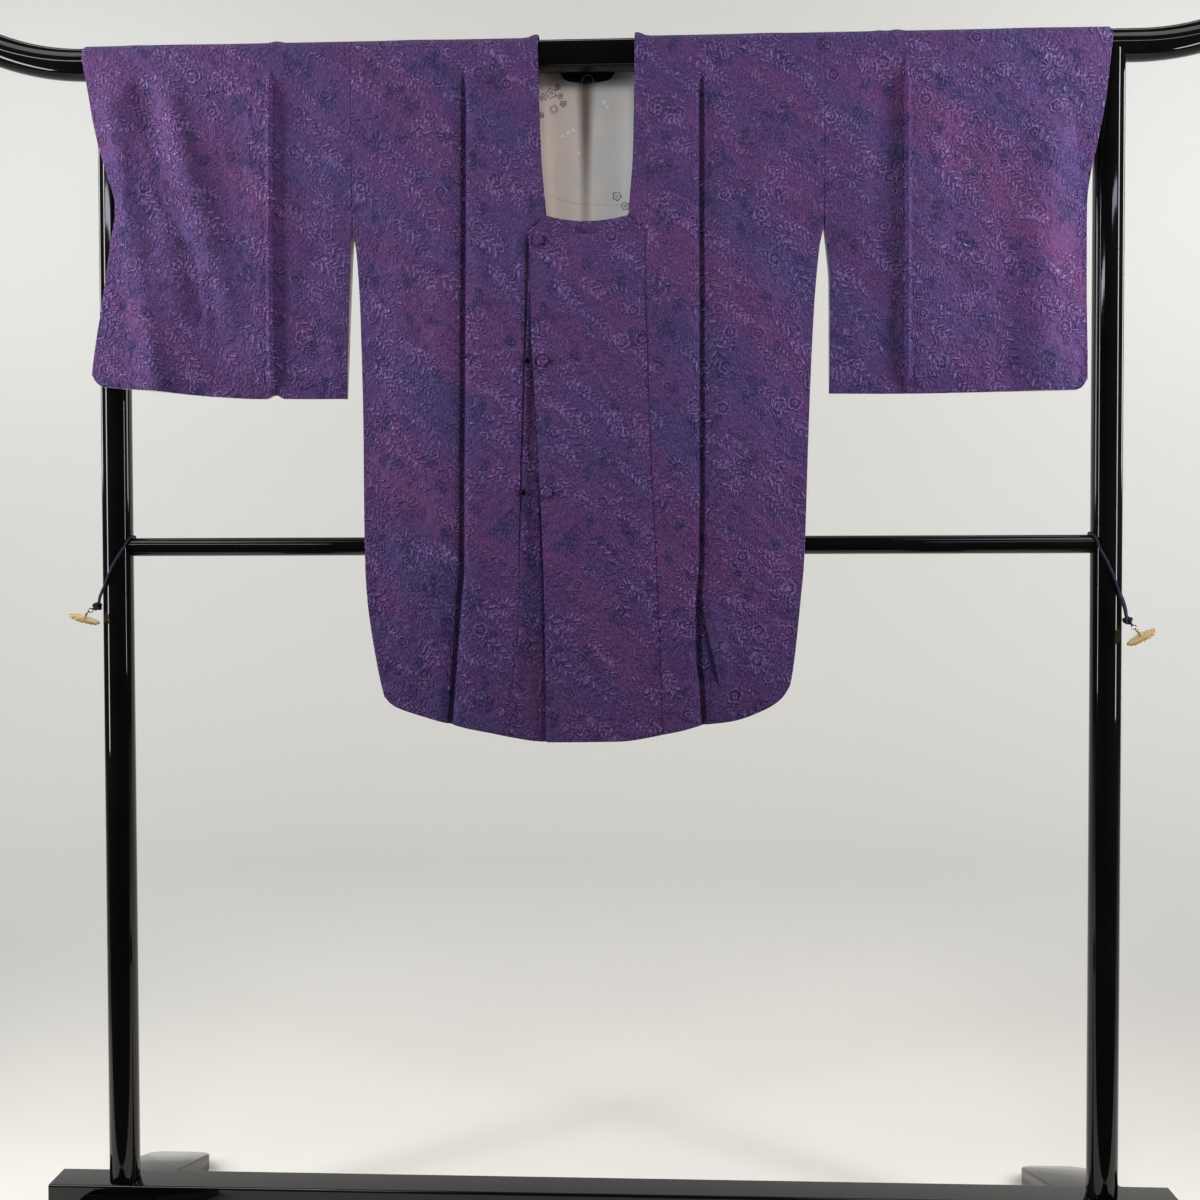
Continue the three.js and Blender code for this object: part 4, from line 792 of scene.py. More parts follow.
# Where the dyer's brush left the silk redder (+) or bluer (-): x, s down the front, half-length,
# half-width, slope in degrees down to the wearer's left, and strength.
DYE_STROKES = (
    (-560, 150, 90, 30, 34, 1.0), (-430, 250, 60, 30, 40, 1.0), (-350, 318, 60, 30, 36, 0.8),
    (-625, 380, 50, 36, 20, 0.5), (-470, 60, 60, 26, 30, 0.4), (-220, 380, 70, 30, 50, 0.7),
    (-160, 452, 60, 26, 50, 0.6), (-130, 560, 50, 24, 40, 0.5), (-36, 268, 46, 22, 44, 1.0),
    (0, 330, 46, 24, 44, 1.1), (30, 366, 40, 20, 40, 0.7), (-60, 600, 60, 34, 36, 0.7),
    (30, 680, 60, 30, 34, 0.8), (96, 250, 60, 30, 42, 0.9), (182, 340, 50, 28, 48, 0.9),
    (236, 410, 46, 24, 50, 0.9), (210, 690, 60, 32, 30, 1.0), (110, 700, 40, 40, 30, 0.4),
    (320, 326, 50, 30, 36, 0.7), (440, 130, 60, 26, 40, 0.9), (510, 190, 60, 30, 42, 1.0),
    (560, 270, 60, 30, 50, 1.0), (300, 60, 60, 26, 30, 0.5), (-260, 90, 60, 28, 30, 0.4),
    (60, 820, 60, 30, 30, 0.5), (-200, 800, 50, 30, 30, 0.4), (-230, 620, 60, 34, 36, 0.3),
    (-464, 308, 46, 34, 20, -1.1), (-600, 190, 40, 26, 40, -0.6), (-560, 250, 70, 26, 34, -0.6),
    (-300, 160, 60, 34, 34, -0.4), (-300, 420, 40, 36, 50, -1.0), (-232, 452, 50, 26, 44, -0.9),
    (-160, 270, 36, 24, 50, -0.8), (-120, 290, 40, 22, 50, -0.7), (-60, 420, 50, 30, 40, -0.9),
    (20, 470, 60, 34, 36, -0.8), (110, 410, 40, 26, 40, -0.5), (210, 240, 50, 32, 40, -0.8),
    (190, 500, 60, 34, 40, -0.5), (-70, 740, 50, 40, 40, -0.6), (96, 600, 46, 34, 36, -0.6),
    (150, 790, 40, 30, 30, -0.9), (-280, 700, 40, 34, 40, -0.6), (-170, 690, 50, 24, 40, -0.6),
    (400, 320, 34, 28, 30, -1.2), (460, 390, 60, 28, 34, -0.8), (556, 66, 60, 26, 36, -0.7),
    (-250, 770, 60, 46, 0, -0.9), (190, 770, 60, 46, 0, -0.8), (500, 110, 50, 24, 36, -0.5),
    (310, 130, 44, 30, 30, -0.6), (350, 210, 40, 26, 40, -0.7),
    (-380, 120, 40, 28, 40, -0.5), (-390, 400, 50, 30, 30, -0.4), (600, 190, 26, 40, 80, -0.5),
)


def dye(x, s):
    """The ombre shading: about +1 where the silk is redder and -1 where it is bluer."""
    total = 0 * x
    across = x + 70 * ease(s, 0, 420)
    down = np.abs(s)
    for at_x, at_s, long_half, wide_half, slope, amount in DYE_STROKES:
        turn = math.radians(slope)
        u = (across - at_x) * math.cos(turn) + (down - at_s) * math.sin(turn)
        v = -(across - at_x) * math.sin(turn) + (down - at_s) * math.cos(turn)
        total = total + amount * np.exp(-(u / (1.3 * long_half)) ** 2 - (v / wide_half) ** 2)
    return np.tanh(total)


# ------------------------------------------------------------------ the silk
# Figured crepe silk: hard-twisted wefts raise it in fine upright flecks, and satin floats draw
# blossoms, chrysanthemums and leaf sprays that catch the light. It was brush-dyed in slanting
# bands from blue violet to red violet, with soft dark petal marks.
silk, tree, shader = new_finish("figured crepe silk", IOR=1.46, Specular_Tint=hex_colour("#A585DC"),
                                Sheen_Weight=0.05, Sheen_Roughness=0.4, Sheen_Tint=hex_colour("#9A7CC8"))
where = add(tree, "ShaderNodeUVMap", uv_map="cloth")
dyed = add(tree, "ShaderNodeAttribute", attribute_name="dye")
MATH, RANGE, NOISE = "ShaderNodeMath", "ShaderNodeMapRange", "ShaderNodeTexNoise"
BAND_SLOPE = math.radians(37)


def scattered(cell, offset):
    """One motif in each cell: the place from the motif's middle, and three random numbers."""
    moved = add(tree, "ShaderNodeMapping", {"Vector": where, "Location": (*offset, 0)})
    grid = add(tree, "ShaderNodeTexVoronoi", {"Vector": moved, "Scale": 1 / cell, "Randomness": 0.8},
               voronoi_dimensions="2D")
    local = add(tree, "ShaderNodeVectorMath", (moved, grid.outputs["Position"]), operation="SUBTRACT")
    chance = add(tree, "ShaderNodeSeparateColor", {"Color": grid.outputs["Color"]})
    return local, chance.outputs["Red"], chance.outputs["Green"], chance.outputs["Blue"]


def blossom(local, spin, size, petals, notch, line):
    """An outlined flower with a scalloped rim, an eye, and rays between the petals: how near a
    place is to its drawn lines, how near to the lines of a many-rayed one, and its filled shape."""
    axes = add(tree, "ShaderNodeSeparateXYZ", {"Vector": local})
    reach = add(tree, "ShaderNodeVectorMath", (local,), operation="LENGTH").outputs["Value"]
    angle = add(tree, MATH, (axes.outputs["Y"], axes.outputs["X"]), operation="ARCTAN2")
    spun = add(tree, MATH, (angle, petals / 2, spin), operation="MULTIPLY_ADD")
    wave = add(tree, MATH, (spun,), operation="SINE")
    lobe = add(tree, MATH, (wave,), operation="ABSOLUTE")
    rim = add(tree, MATH, (lobe, notch, 1 - notch), operation="MULTIPLY_ADD")
    sized = add(tree, MATH, (rim, size), operation="MULTIPLY")
    share = add(tree, MATH, (reach, sized), operation="DIVIDE")
    near = []
    for middle, width in ((0.86, line), (0.26, line * 0.8)):
        gap = add(tree, MATH, (share, -middle), operation="ADD")
        off = add(tree, MATH, (gap,), operation="ABSOLUTE")
        near.append(add(tree, RANGE, (off, width * 1.9, width * 0.5)))
    inside = add(tree, RANGE, (share, 1.16, 0.9))
    parted = add(tree, MATH, (lobe, share), operation="MULTIPLY")
    ray = add(tree, RANGE, (parted, 0.56, 0.24))
    hollow = add(tree, RANGE, (share, 0.26, 0.46))
    rayed = add(tree, MATH, (ray, hollow), operation="MULTIPLY")
    bounded = add(tree, MATH, (rayed, inside), operation="MULTIPLY")
    return add(tree, MATH, (near[0], near[1]), operation="MAXIMUM"), bounded, inside


def flowers(cell, offset, radius, petals, notch, line):
    """The same flower all over the cloth, each turned and sized a little differently: outlined
    where it has few petals, rayed where it has many."""
    local, chance, other, present = scattered(cell, offset)
    spin = add(tree, MATH, (chance, 6.0), operation="MULTIPLY")
    size = add(tree, MATH, (other, radius * 0.4, radius * 0.75), operation="MULTIPLY_ADD")
    lines, rays, inside = blossom(local, spin, size, petals, notch, line / radius)
    filled = add(tree, MATH, (inside, 0.1 if petals > 8 else 0.26), operation="MULTIPLY")
    drawn = add(tree, MATH, (rays if petals > 8 else lines, filled), operation="MAXIMUM")
    there = add(tree, MATH, (present, 0.16), operation="GREATER_THAN")
    return add(tree, MATH, (drawn, there), operation="MULTIPLY")


def sprays(cell, offset, slope, half_length, pitch, leaf, thick):
    """Leaf sprays: lens-shaped leaves set by turns on both sides of a curved stem that runs down
    to the wearer's left."""
    local, chance, _, present = scattered(cell, offset)
    sway = add(tree, MATH, (chance, 0.8, math.radians(slope) - 0.4), operation="MULTIPLY_ADD")
    level = add(tree, "ShaderNodeVectorRotate", {"Vector": local, "Angle": sway}, rotation_type="Z_AXIS")
    axes = add(tree, "ShaderNodeSeparateXYZ", {"Vector": level})
    along = axes.outputs["X"]
    square = add(tree, MATH, (along, along), operation="MULTIPLY")
    bent = add(tree, MATH, (square, 9.0, axes.outputs["Y"]), operation="MULTIPLY_ADD")
    aside = add(tree, MATH, (bent,), operation="ABSOLUTE")
    hand = add(tree, MATH, (bent,), operation="SIGN")
    by_turns = add(tree, MATH, (hand, pitch / 4, along), operation="MULTIPLY_ADD")
    step = add(tree, MATH, (by_turns, pitch / 2, -pitch / 2), operation="WRAP")
    at = add(tree, "ShaderNodeCombineXYZ", (step, aside))
    shape = add(tree, "ShaderNodeMapping", {
        "Vector": at, "Location": (0, leaf * 0.86, 0), "Rotation": (0, 0, math.radians(52)),
        "Scale": (leaf, thick, 1),
    }, vector_type="TEXTURE")
    reach = add(tree, "ShaderNodeVectorMath", (shape,), operation="LENGTH").outputs["Value"]
    tip = add(tree, RANGE, (square, (half_length * 0.7) ** 2, half_length ** 2, 0, 0.9))
    grown_reach = add(tree, MATH, (reach, tip), operation="ADD")
    there = add(tree, MATH, (present, 0.2), operation="GREATER_THAN")
    leaves = add(tree, RANGE, (grown_reach, 1.4, 0.75))
    return add(tree, MATH, (leaves, there), operation="MULTIPLY")


# The motifs, at their real sizes: blossoms about 20 and 12 mm across, chrysanthemums 33 mm, and
# three kinds of spray with leaves 7 to 12 mm long.
motifs = flowers(0.047, (0.0, 0.0), 0.0098, 5, 0.2, 0.0011)
for more in (flowers(0.031, (0.113, 0.271), 0.006, 5, 0.26, 0.001),
             flowers(0.061, (0.031, 0.417), 0.0165, 13, 0.12, 0.001),
             sprays(0.05, (0.211, 0.087), 38, 0.027, 0.0066, 0.0042, 0.0013),
             sprays(0.052, (0.307, 0.553), 50, 0.026, 0.0104, 0.006, 0.0017),
             sprays(0.041, (0.531, 0.713), 28, 0.019, 0.0058, 0.0034, 0.0011)):
    motifs = add(tree, MATH, (motifs, more), operation="MAXIMUM")

# Crepe: the twisted wefts show as upright flecks about 2.5 mm wide and 7 mm long, with a finer
# scatter between; the real yarn is finer still, and is drawn coarse so that it shows.
flecks = []
for scale, place_at, low, high in (((430, 150, 1), (0.3, 0.7, 0), 0.44, 0.6),
                                   ((640, 260, 1), (3.1, 5.3, 0), 0.47, 0.66)):
    stretched = add(tree, "ShaderNodeMapping", {"Vector": where, "Scale": scale, "Location": place_at})
    drift = add(tree, NOISE, {"Vector": stretched, "Scale": 1, "Detail": 1, "Distortion": 0.5},
                noise_dimensions="2D")
    flecks.append(add(tree, RANGE, (drift.outputs["Fac"], low, high), interpolation_type="SMOOTHSTEP"))
motif_rows = add(tree, "ShaderNodeMapping", {
    "Vector": where, "Rotation": (0, 0, -BAND_SLOPE), "Scale": (0.11, 0.03, 1), "Location": (0.4, 0.9, 0),
}, vector_type="TEXTURE")
clump = add(tree, NOISE, {"Vector": motif_rows, "Scale": 1, "Detail": 2}, noise_dimensions="2D")
gather = add(tree, RANGE, (clump.outputs["Fac"], 0.36, 0.6, 0.5, 1.0), interpolation_type="SMOOTHSTEP")
relief = add(tree, MATH, (motifs, gather), operation="MULTIPLY")
floated = add(tree, RANGE, (relief, 0.4, 0.85), interpolation_type="SMOOTHSTEP")
# Where floats and flecks lie the silk is glossier and raised, and their colour gets a painted sheen.
lively = add(tree, MATH, (flecks[0], 0.72, 0.28), operation="MULTIPLY_ADD")
bright_fleck = add(tree, MATH, (floated, lively), operation="MULTIPLY")
quiet_fleck = add(tree, MATH, (flecks[1], 0.34), operation="MULTIPLY")
woven = add(tree, MATH, (bright_fleck, quiet_fleck), operation="MAXIMUM")
# A ring just outside each motif's edge is painted dark: painted shade in the furrow beside the raised
# float.
rise = add(tree, RANGE, (relief, 0.02, 0.22), interpolation_type="SMOOTHSTEP")
fall = add(tree, RANGE, (relief, 0.55, 0.3), interpolation_type="SMOOTHSTEP")
furrow_shade = add(tree, MATH, (rise, fall), operation="MULTIPLY")

# Colour: the slanting bands of the brush, then its dark petal marks, then a painted sheen where the
# yarn floats, and painted shade in the furrows beside them.
aslant = add(tree, "ShaderNodeMapping", {"Vector": where, "Rotation": (0, 0, -BAND_SLOPE),
                                         "Scale": (0.3, 0.075, 1)}, vector_type="TEXTURE")
bands = add(tree, NOISE, {"Vector": aslant, "Scale": 1, "Detail": 2, "Roughness": 0.5},
            noise_dimensions="2D")
stroke = add(tree, MATH, (dyed.outputs["Fac"], 0.145, 0.02), operation="MULTIPLY_ADD")
hue = add(tree, MATH, (bands.outputs["Fac"], 0.96, stroke), operation="MULTIPLY_ADD")
ground = stops(add(tree, "ShaderNodeValToRGB", {"Fac": hue}),
               (0.1, "#2F3058"), (0.35, "#392F57"), (0.52, "#422D56"), (0.72, "#4C2E55"), (0.95, "#573153"))
marks = []
for cell, offset, petals, long, wide in ((0.078, (0.41, 0.13), 3, 0.0165, 1.25),
                                         (0.047, (0.17, 0.67), 0, 0.0105, 1.8)):
    local, chance, _, present = scattered(cell, offset)
    sway = add(tree, MATH, (chance, 2.4, 0.3), operation="MULTIPLY_ADD")
    level = add(tree, "ShaderNodeVectorRotate", {"Vector": local, "Angle": sway}, rotation_type="Z_AXIS")
    flattened = add(tree, "ShaderNodeVectorMath", (level, (1, wide, 1)), operation="MULTIPLY")
    if petals:
        petal = blossom(flattened, 0.6, long, petals, 0.78, 0.1)[2]
    else:
        reach = add(tree, "ShaderNodeVectorMath", (flattened,), operation="LENGTH").outputs["Value"]
        petal = add(tree, RANGE, (reach, long * 1.2, long * 0.7), interpolation_type="SMOOTHSTEP")
    there = add(tree, MATH, (present, 0.36), operation="GREATER_THAN")
    marks.append(add(tree, MATH, (petal, there), operation="MULTIPLY"))
mark = add(tree, MATH, (marks[0], marks[1]), operation="MAXIMUM")
mark_share = add(tree, MATH, (mark, 0.7), operation="MULTIPLY")
marked = add(tree, "ShaderNodeMix", {0: mark_share, 6: ground, 7: hex_colour("#1E2142")}, data_type="RGBA")
# The floats and flecks are painted a pale lilac: a painted sheen, where the satin catches the light.
painted_sheen = add(tree, "ShaderNodeMix", {0: 0.62, 6: ground, 7: hex_colour("#A486CC")}, data_type="RGBA")
sheen_share = add(tree, MATH, (woven, 0.57), operation="MULTIPLY")
figured = add(tree, "ShaderNodeMix", {0: sheen_share, 6: marked.outputs[2], 7: painted_sheen.outputs[2]},
              data_type="RGBA")
# The furrow ring darkens the colour towards deep violet as painted shade.
furrow_shade_share = add(tree, MATH, (furrow_shade, 0.42), operation="MULTIPLY")
furrow_shaded = add(tree, "ShaderNodeMix", {0: furrow_shade_share, 6: figured.outputs[2], 7: hex_colour("#1C1530")},
           data_type="RGBA")
tree.links.new(furrow_shaded.outputs[2], shader.inputs["Base Color"])
gloss = add(tree, RANGE, (woven, 0.0, 1.0, 0.55, 0.36))
tree.links.new(gloss.outputs[0], shader.inputs["Roughness"])
swell = add(tree, NOISE, {"Vector": where, "Scale": 85, "Detail": 1}, noise_dimensions="2D")
raised_yarn = add(tree, MATH, (relief, 0.7, woven), operation="MULTIPLY_ADD")
height = add(tree, MATH, (swell.outputs["Fac"], 0.9, raised_yarn), operation="MULTIPLY_ADD")
raised = add(tree, "ShaderNodeBump", {"Height": height, "Strength": 1.0, "Distance": 0.0028})
tree.links.new(raised.outputs[0], shader.inputs["Normal"])

# Lining: thin plain-weave silk, grey cream, hand-printed in mauve line with a few flowers. Down
# its centre back seam a brown band of shade is painted, darkest at the top under the bar.
PRINTS = (
    # x, s, radius, petals, and whether it is rayed, outlined or pale
    (-65.4, 93, 8, 14, "rayed"), (-69, 72, 7.5, 5, "outlined"), (-79, 77, 5, 5, "outlined"),
    (-53, 86, 4.6, 5, "outlined"), (-57, 76, 4, 5, "outlined"), (-82, 100, 4, 5, "outlined"),
    (17, 209, 6.5, 5, "outlined"), (28, 222, 6, 5, "outlined"), (-60, 64, 4, 5, "outlined"),
    (-46.4, 124, 2.4, 5, "pale"), (-40, 121, 2.4, 5, "pale"), (0.4, 85, 2.8, 5, "pale"),
    (-32.5, 152, 2.2, 5, "pale"), (4.5, 91, 2, 5, "pale"), (-54, 128, 2, 5, "pale"),
)
lining, tree, shader = new_finish("printed lining silk", Roughness=0.55, Sheen_Weight=0.06)
where = add(tree, "ShaderNodeUVMap", uv_map="cloth")
axes = add(tree, "ShaderNodeSeparateXYZ", {"Vector": where})
haze = add(tree, NOISE, {"Vector": where, "Scale": 30, "Detail": 4, "Roughness": 0.65},
           noise_dimensions="2D")
sided = add(tree, RANGE, (axes.outputs["X"], -0.06, 0.02, 0, 0.34))
hazed = add(tree, MATH, (haze.outputs["Fac"], 0.66, sided), operation="MULTIPLY_ADD")
cream = stops(add(tree, "ShaderNodeValToRGB", {"Fac": hazed}),
              (0.25, "#E6DAD2"), (0.45, "#DFD6D2"), (0.7, "#CDD2D6"))
inked, bleached = 0.0, 0.0
for x, s, radius, petals, kind in PRINTS:
    local = add(tree, "ShaderNodeVectorMath", (where, (x * MM, s * MM, 0)), operation="SUBTRACT")
    lines, rays, inside = blossom(local, x, radius * MM, petals, 0.25, min(0.3, 0.75 / radius))
    if kind == "pale":
        bleached = add(tree, MATH, (bleached, inside), operation="MAXIMUM")
    else:
        inked = add(tree, MATH, (inked, rays if kind == "rayed" else lines), operation="MAXIMUM")
worn = add(tree, NOISE, {"Vector": where, "Scale": 190, "Detail": 2}, noise_dimensions="2D")
patchy = add(tree, RANGE, (worn.outputs["Fac"], 0.35, 0.6, 0.45, 1.0))
ink_share = add(tree, MATH, (inked, patchy), operation="MULTIPLY")
pale_share = add(tree, MATH, (bleached, patchy), operation="MULTIPLY")
figured = add(tree, "ShaderNodeMix", {0: ink_share, 6: cream, 7: hex_colour("#5C4A62")}, data_type="RGBA")
lit = add(tree, "ShaderNodeMix", {0: pale_share, 6: figured.outputs[2], 7: hex_colour("#FBF8F4")},
          data_type="RGBA")
# Painted shade: a brown band down the centre back seam, wider and darker towards the top under the bar.
from_seam = add(tree, MATH, (axes.outputs["X"], 0.0238), operation="ADD")
aside = add(tree, MATH, (from_seam,), operation="ABSOLUTE")
spread = add(tree, RANGE, (axes.outputs["Y"], 0.05, 0.2, 1.0, 1.9))
scaled = add(tree, MATH, (aside, spread), operation="MULTIPLY")
shadow = add(tree, RANGE, (scaled, 0.019, 0.001, 0, 0.9), interpolation_type="SMOOTHSTEP")
fading = add(tree, RANGE, (axes.outputs["Y"], 0.1, 0.24, 1, 0.5), interpolation_type="SMOOTHSTEP")
shadow_share = add(tree, MATH, (shadow, fading), operation="MULTIPLY")
seam_shaded = add(tree, "ShaderNodeMix", {0: shadow_share, 6: lit.outputs[2], 7: hex_colour("#5E4D45")},
             data_type="RGBA")
tree.links.new(seam_shaded.outputs[2], shader.inputs["Base Color"])
weave = add(tree, "ShaderNodeTexWave", {"Vector": where, "Scale": 420, "Distortion": 1.5},
            bands_direction="X")
raised = add(tree, "ShaderNodeBump", {"Height": weave, "Strength": 0.25, "Distance": 0.0003})
tree.links.new(raised.outputs[0], shader.inputs["Normal"])

# The neck band's inner face is plain silk, painted near black for the shade it lies in under the bar.
band_shade_silk, tree, shader = new_finish("plain silk painted in shade", Roughness=0.6)
place = add(tree, "ShaderNodeTexCoord").outputs["Object"]
spots = add(tree, NOISE, {"Vector": place, "Scale": 90, "Detail": 3})
tone = stops(add(tree, "ShaderNodeValToRGB", {"Fac": spots}), (0.3, "#1B0E24"), (0.7, "#2A1834"))
tree.links.new(tone.outputs[0], shader.inputs["Base Color"])


# ------------------------------------------------------------------ body panels
# Each half of the body is one loom width, unbroken from the front hem over the shoulder to the
# back hem. A crease is pressed down its length. It is sewn to its neighbours at its long edges.
BACK_NECK = {"row": (0, 1, 2, 3, 4), "out": (75, 67, 52, 27, 0), "seamDrop": (0, 7, 15, 24, 28),
             "edgeOut": (61.8, 55.5, 43, 23, 0), "edgeDrop": (0, 3, 6.4, 9.6, 11)}
body_hem = curve_through(BODY_HEM, "x", "drop")
neck_out = curve_through(BACK_NECK, "seamDrop", "out")
# The drops from and to which the rows lie closer, and how close: the hem's turn, the pocket's slit.
HEM_TURN, POCKET = (706, 730, 1.4), (452, 471, 1.2)
OVER_TOP = np.linspace(-1, 1, 21)[1:-1]


def settle(place, hem, drop):
    """The drop at which a line of cloth meets the hem."""
    for _ in range(12):
        drop = hem(place(drop))
    return float(drop)


def body_panel(hand, sign):
    """One loom width, laid in columns from the side seam over the crease to the front seam."""
    side, crease, seam = side_line[hand], crease_line[hand], front_seam[hand]
    inward = -sign
    columns = [("side", t) for t in stations(132, 3.6, (True, False))]
    columns += [("crease", o) for o in np.linspace(-13, 13, 27)[1:]]
    columns += [("seam", t) for t in stations(72, 3.4, (False, True))[1:]]

    def line(column, end):
        kind, t = column

        def place(drop):
            fold = crease(drop)
            if kind == "side":
                return mix(side(drop) + inward * SEAM_GAP / 2, fold - inward * 13, t)
            if kind == "crease":
                return fold + inward * t
            return mix(fold + inward * 13, end(drop), t)
        return place

    def front_end(drop):
        return seam(drop) + sign * SEAM_GAP / 2

    def back_end(drop):
        return CENTRE_X + sign * (neck_out(drop) + SEAM_GAP / 2)

    dense = [HEM_TURN] + ([POCKET] if hand == "left" else [])
    falls = stations(870, 6.4, (True, True), dense)
    xs, ss = [], []
    for column in columns:
        front, back = line(column, front_end), line(column, back_end)
        down = falls[::-1] * settle(front, body_hem, 850.0)
        drop_back = falls * (settle(back, body_hem, 850.0) - 3)
        xs.append(np.concatenate([front(down), np.full(len(OVER_TOP), float(front(0.0))), back(drop_back)]))
        ss.append(np.concatenate([-(QUARTER + down), OVER_TOP * QUARTER, QUARTER + drop_back]))
    made = cloth(f"silk_body_{hand}", body_shape, np.array(xs).T, np.array(ss).T, [silk, lining],
                 f"body_{hand}")


body_panel("right", -1)
body_panel("left", 1)

# ------------------------------------------------------------------ sleeves
# Each sleeve is another loom width, folded at the shoulder and sewn along its lower edge, with
# the cuff's slit left open at the post and a long fold where it was pressed for storage.
for hand, sign in (("right", -1), ("left", 1)):
    lines = {k: curve_through(SLEEVE_LINES[hand], "drop", k) for k in ("front", "back", "inner", "fold")}
    hem_at = curve_through(SLEEVE_HEMS[hand], "x", "drop")
    columns = [("outer", t) for t in stations(230, 4.0, (True, False))]
    columns += [("fold", o) for o in np.linspace(16, -16, 25)[1:]]
    columns += [("inner", t) for t in stations(84, 3.8, (False, True))[1:]]

    def sleeve_x(column, drop, edge):
        kind, t = column
        middle = lines["fold"](drop)
        if kind == "outer":
            return mix(edge(drop), middle + sign * 16, t)
        if kind == "fold":
            return middle + sign * t
        return mix(middle - sign * 16, lines["inner"](drop), t)

    falls = stations(438, 5.6, (True, True), [(36, 58, 1.5)] if hand == "right" else ())
    xs, ss = [], []
    for column in columns:
        down = falls * settle(lambda drop: sleeve_x(column, drop, lines["front"]), hem_at, 430.0)
        xs.append(np.concatenate([sleeve_x(column, down[::-1], lines["front"]),
                                  np.full(len(OVER_TOP), float(sleeve_x(column, 0.0, lines["front"]))),
                                  sleeve_x(column, down, lines["back"])]))
        ss.append(np.concatenate([-(QUARTER + down[::-1]), OVER_TOP * QUARTER, QUARTER + down]))
    made = cloth(f"silk_sleeve_{hand}", sleeve_shape(hand), np.array(xs).T, np.array(ss).T, [silk, lining],
                 f"sleeve_{hand}")

# ------------------------------------------------------------------ lapped front panels
# Two straight panels cross at the front, left over right. The left one stands a little proud,
# and a strip of the right one shows beside its free edge, with the snaps that hold them.
NECK_SEAM = 233  # the drop at which the panels are sewn to the neck band's front run
overlap_edge = curve_through(OVERLAP_EDGE, "drop", "x")
underlap_edge = curve_through(UNDERLAP_EDGE, "drop", "x")


def over_lift(x, drop):
    """How far the over panel stands proud of the body."""
    return LAP_STEP * ease(front_seam["left"](drop) - x, 4, 60)


def under_lift(x, drop):
    """How far the under panel lies back, pressed in along the over panel's edge."""
    depth = 2.7 - 2.0 * ease(drop, 300, 345) + 1.2 * ease(drop, 540, 600)
    seam, edge = front_seam["right"](drop), overlap_edge(drop)
    pressed = depth * bell(x - edge, 2.5) * ease(edge - seam, 7, 12)
    return -LAP_STEP * ease(x - seam, 1, 14) - pressed


def sag(x, amount):
    """The front edge of the neck dips in the middle."""
    return amount * np.maximum(0, 1 - ((x - CENTRE_X - 1) / 55) ** 2)


def front_panel(name, node, from_edge, to_edge, lift, turn):
    across = stations(150, 3.1, (True, True), [(0, 36, 1.2)])
    falls = stations(640, 6.2, (True, True),
                     [(0, 24, 1.3), (150, 178, 1.3), (318, 346, 1.3), (462, 478, 1.4)])
    u, t = np.meshgrid(across, falls)
    bottom = body_hem(mix(from_edge(880), to_edge(880), u))
    top_x = mix(from_edge(240), to_edge(240), u)
    top = NECK_SEAM + sag(top_x, 3.4) + SEAM_GAP / 2
    drop = mix(top, bottom, t)
    x = mix(from_edge(drop), to_edge(drop), u)
    made = cloth(name, body_shape, x, -(QUARTER + drop), [silk, lining], node, lift(x, drop), turn=turn)


front_panel("silk_front_under", "front_panel_under", lambda d: front_seam["right"](d) + SEAM_GAP / 2,
            underlap_edge, under_lift, (0, 37, 61))
front_panel("silk_front_over", "front_panel_over", overlap_edge,
            lambda d: front_seam["left"](d) - SEAM_GAP / 2, over_lift, (0, -83, 19))

# ------------------------------------------------------------------ neck band
# One folded strip edges the square neck from the right front corner round the back to the left
# one, and a second strip, mitred to it at both corners, crosses the front.
NECK_SIDE = {"drop": (0, 128, 212), "right": (-82.8, -78.8, -72), "left": (40.8, 38.7, 32.4)}
across = np.array([0, 0.06, 0.18, 0.34, 0.5, 0.66, 0.82, 0.94, 1])
seam_x, seam_s, edge_x, edge_s = [], [], [], []
for hand, sign in (("right", -1), ("left", 1)):
    edge = curve_through(NECK_SIDE, "drop", hand)
    down = stations(232, 4.2, (True, False))[::-1]
    arcs = np.linspace(-1, 1, 19)[1:-1]
    rows = np.linspace(0, 4, 26)
    back = {k: curve_through(BACK_NECK, "row", k)(rows) for k in ("out", "seamDrop", "edgeOut", "edgeDrop")}
    seam_drop, edge_drop = 232.96 * down, 212.4 * down
    part = [np.concatenate([front_seam[hand](seam_drop) - sign * SEAM_GAP / 2,
                            np.full(len(arcs), float(front_seam[hand](0)) - sign * SEAM_GAP / 2),
                            CENTRE_X + sign * np.maximum(0, back["out"] - SEAM_GAP / 2)]),
            np.concatenate([-(QUARTER + seam_drop), arcs * QUARTER, QUARTER + back["seamDrop"] - SEAM_GAP]),
            np.concatenate([edge(edge_drop), np.full(len(arcs), float(edge(0))),
                            CENTRE_X + sign * back["edgeOut"]]),
            np.concatenate([-(QUARTER + edge_drop), arcs * QUARTER, QUARTER + back["edgeDrop"]])]
    part = part if sign < 0 else [p[::-1][1:] for p in part]
    for total, values in zip((seam_x, seam_s, edge_x, edge_s), part):
        total.append(values)
seam_x, seam_s, edge_x, edge_s = (np.concatenate(v)[:, None] for v in (seam_x, seam_s, edge_x, edge_s))
band = cloth("silk_neck_band", body_shape, mix(seam_x, edge_x, across), mix(seam_s, edge_s, across),
             [silk, band_shade_silk], "neck_band", turn=(0, 150, 40))

u, t = np.meshgrid(across, stations(150, 3.2))
low_x = mix(overlap_edge(240) - 0.8, front_seam["left"](240) - SEAM_GAP / 2, t)
high_x = mix(-73.2, 32.4, t)
low, high = NECK_SEAM + sag(low_x, 3.4) - SEAM_GAP / 2, 212 + sag(high_x, 8.6)
x, drop = mix(low_x, high_x, u), mix(low, high, u)
band_front = cloth("silk_neck_band_front", body_shape, x, -(QUARTER + drop), [silk, silk],
                   "neck_band_front", over_lift(x, drop) * ease(x, -100, -76), turn=(90, 20, 300))

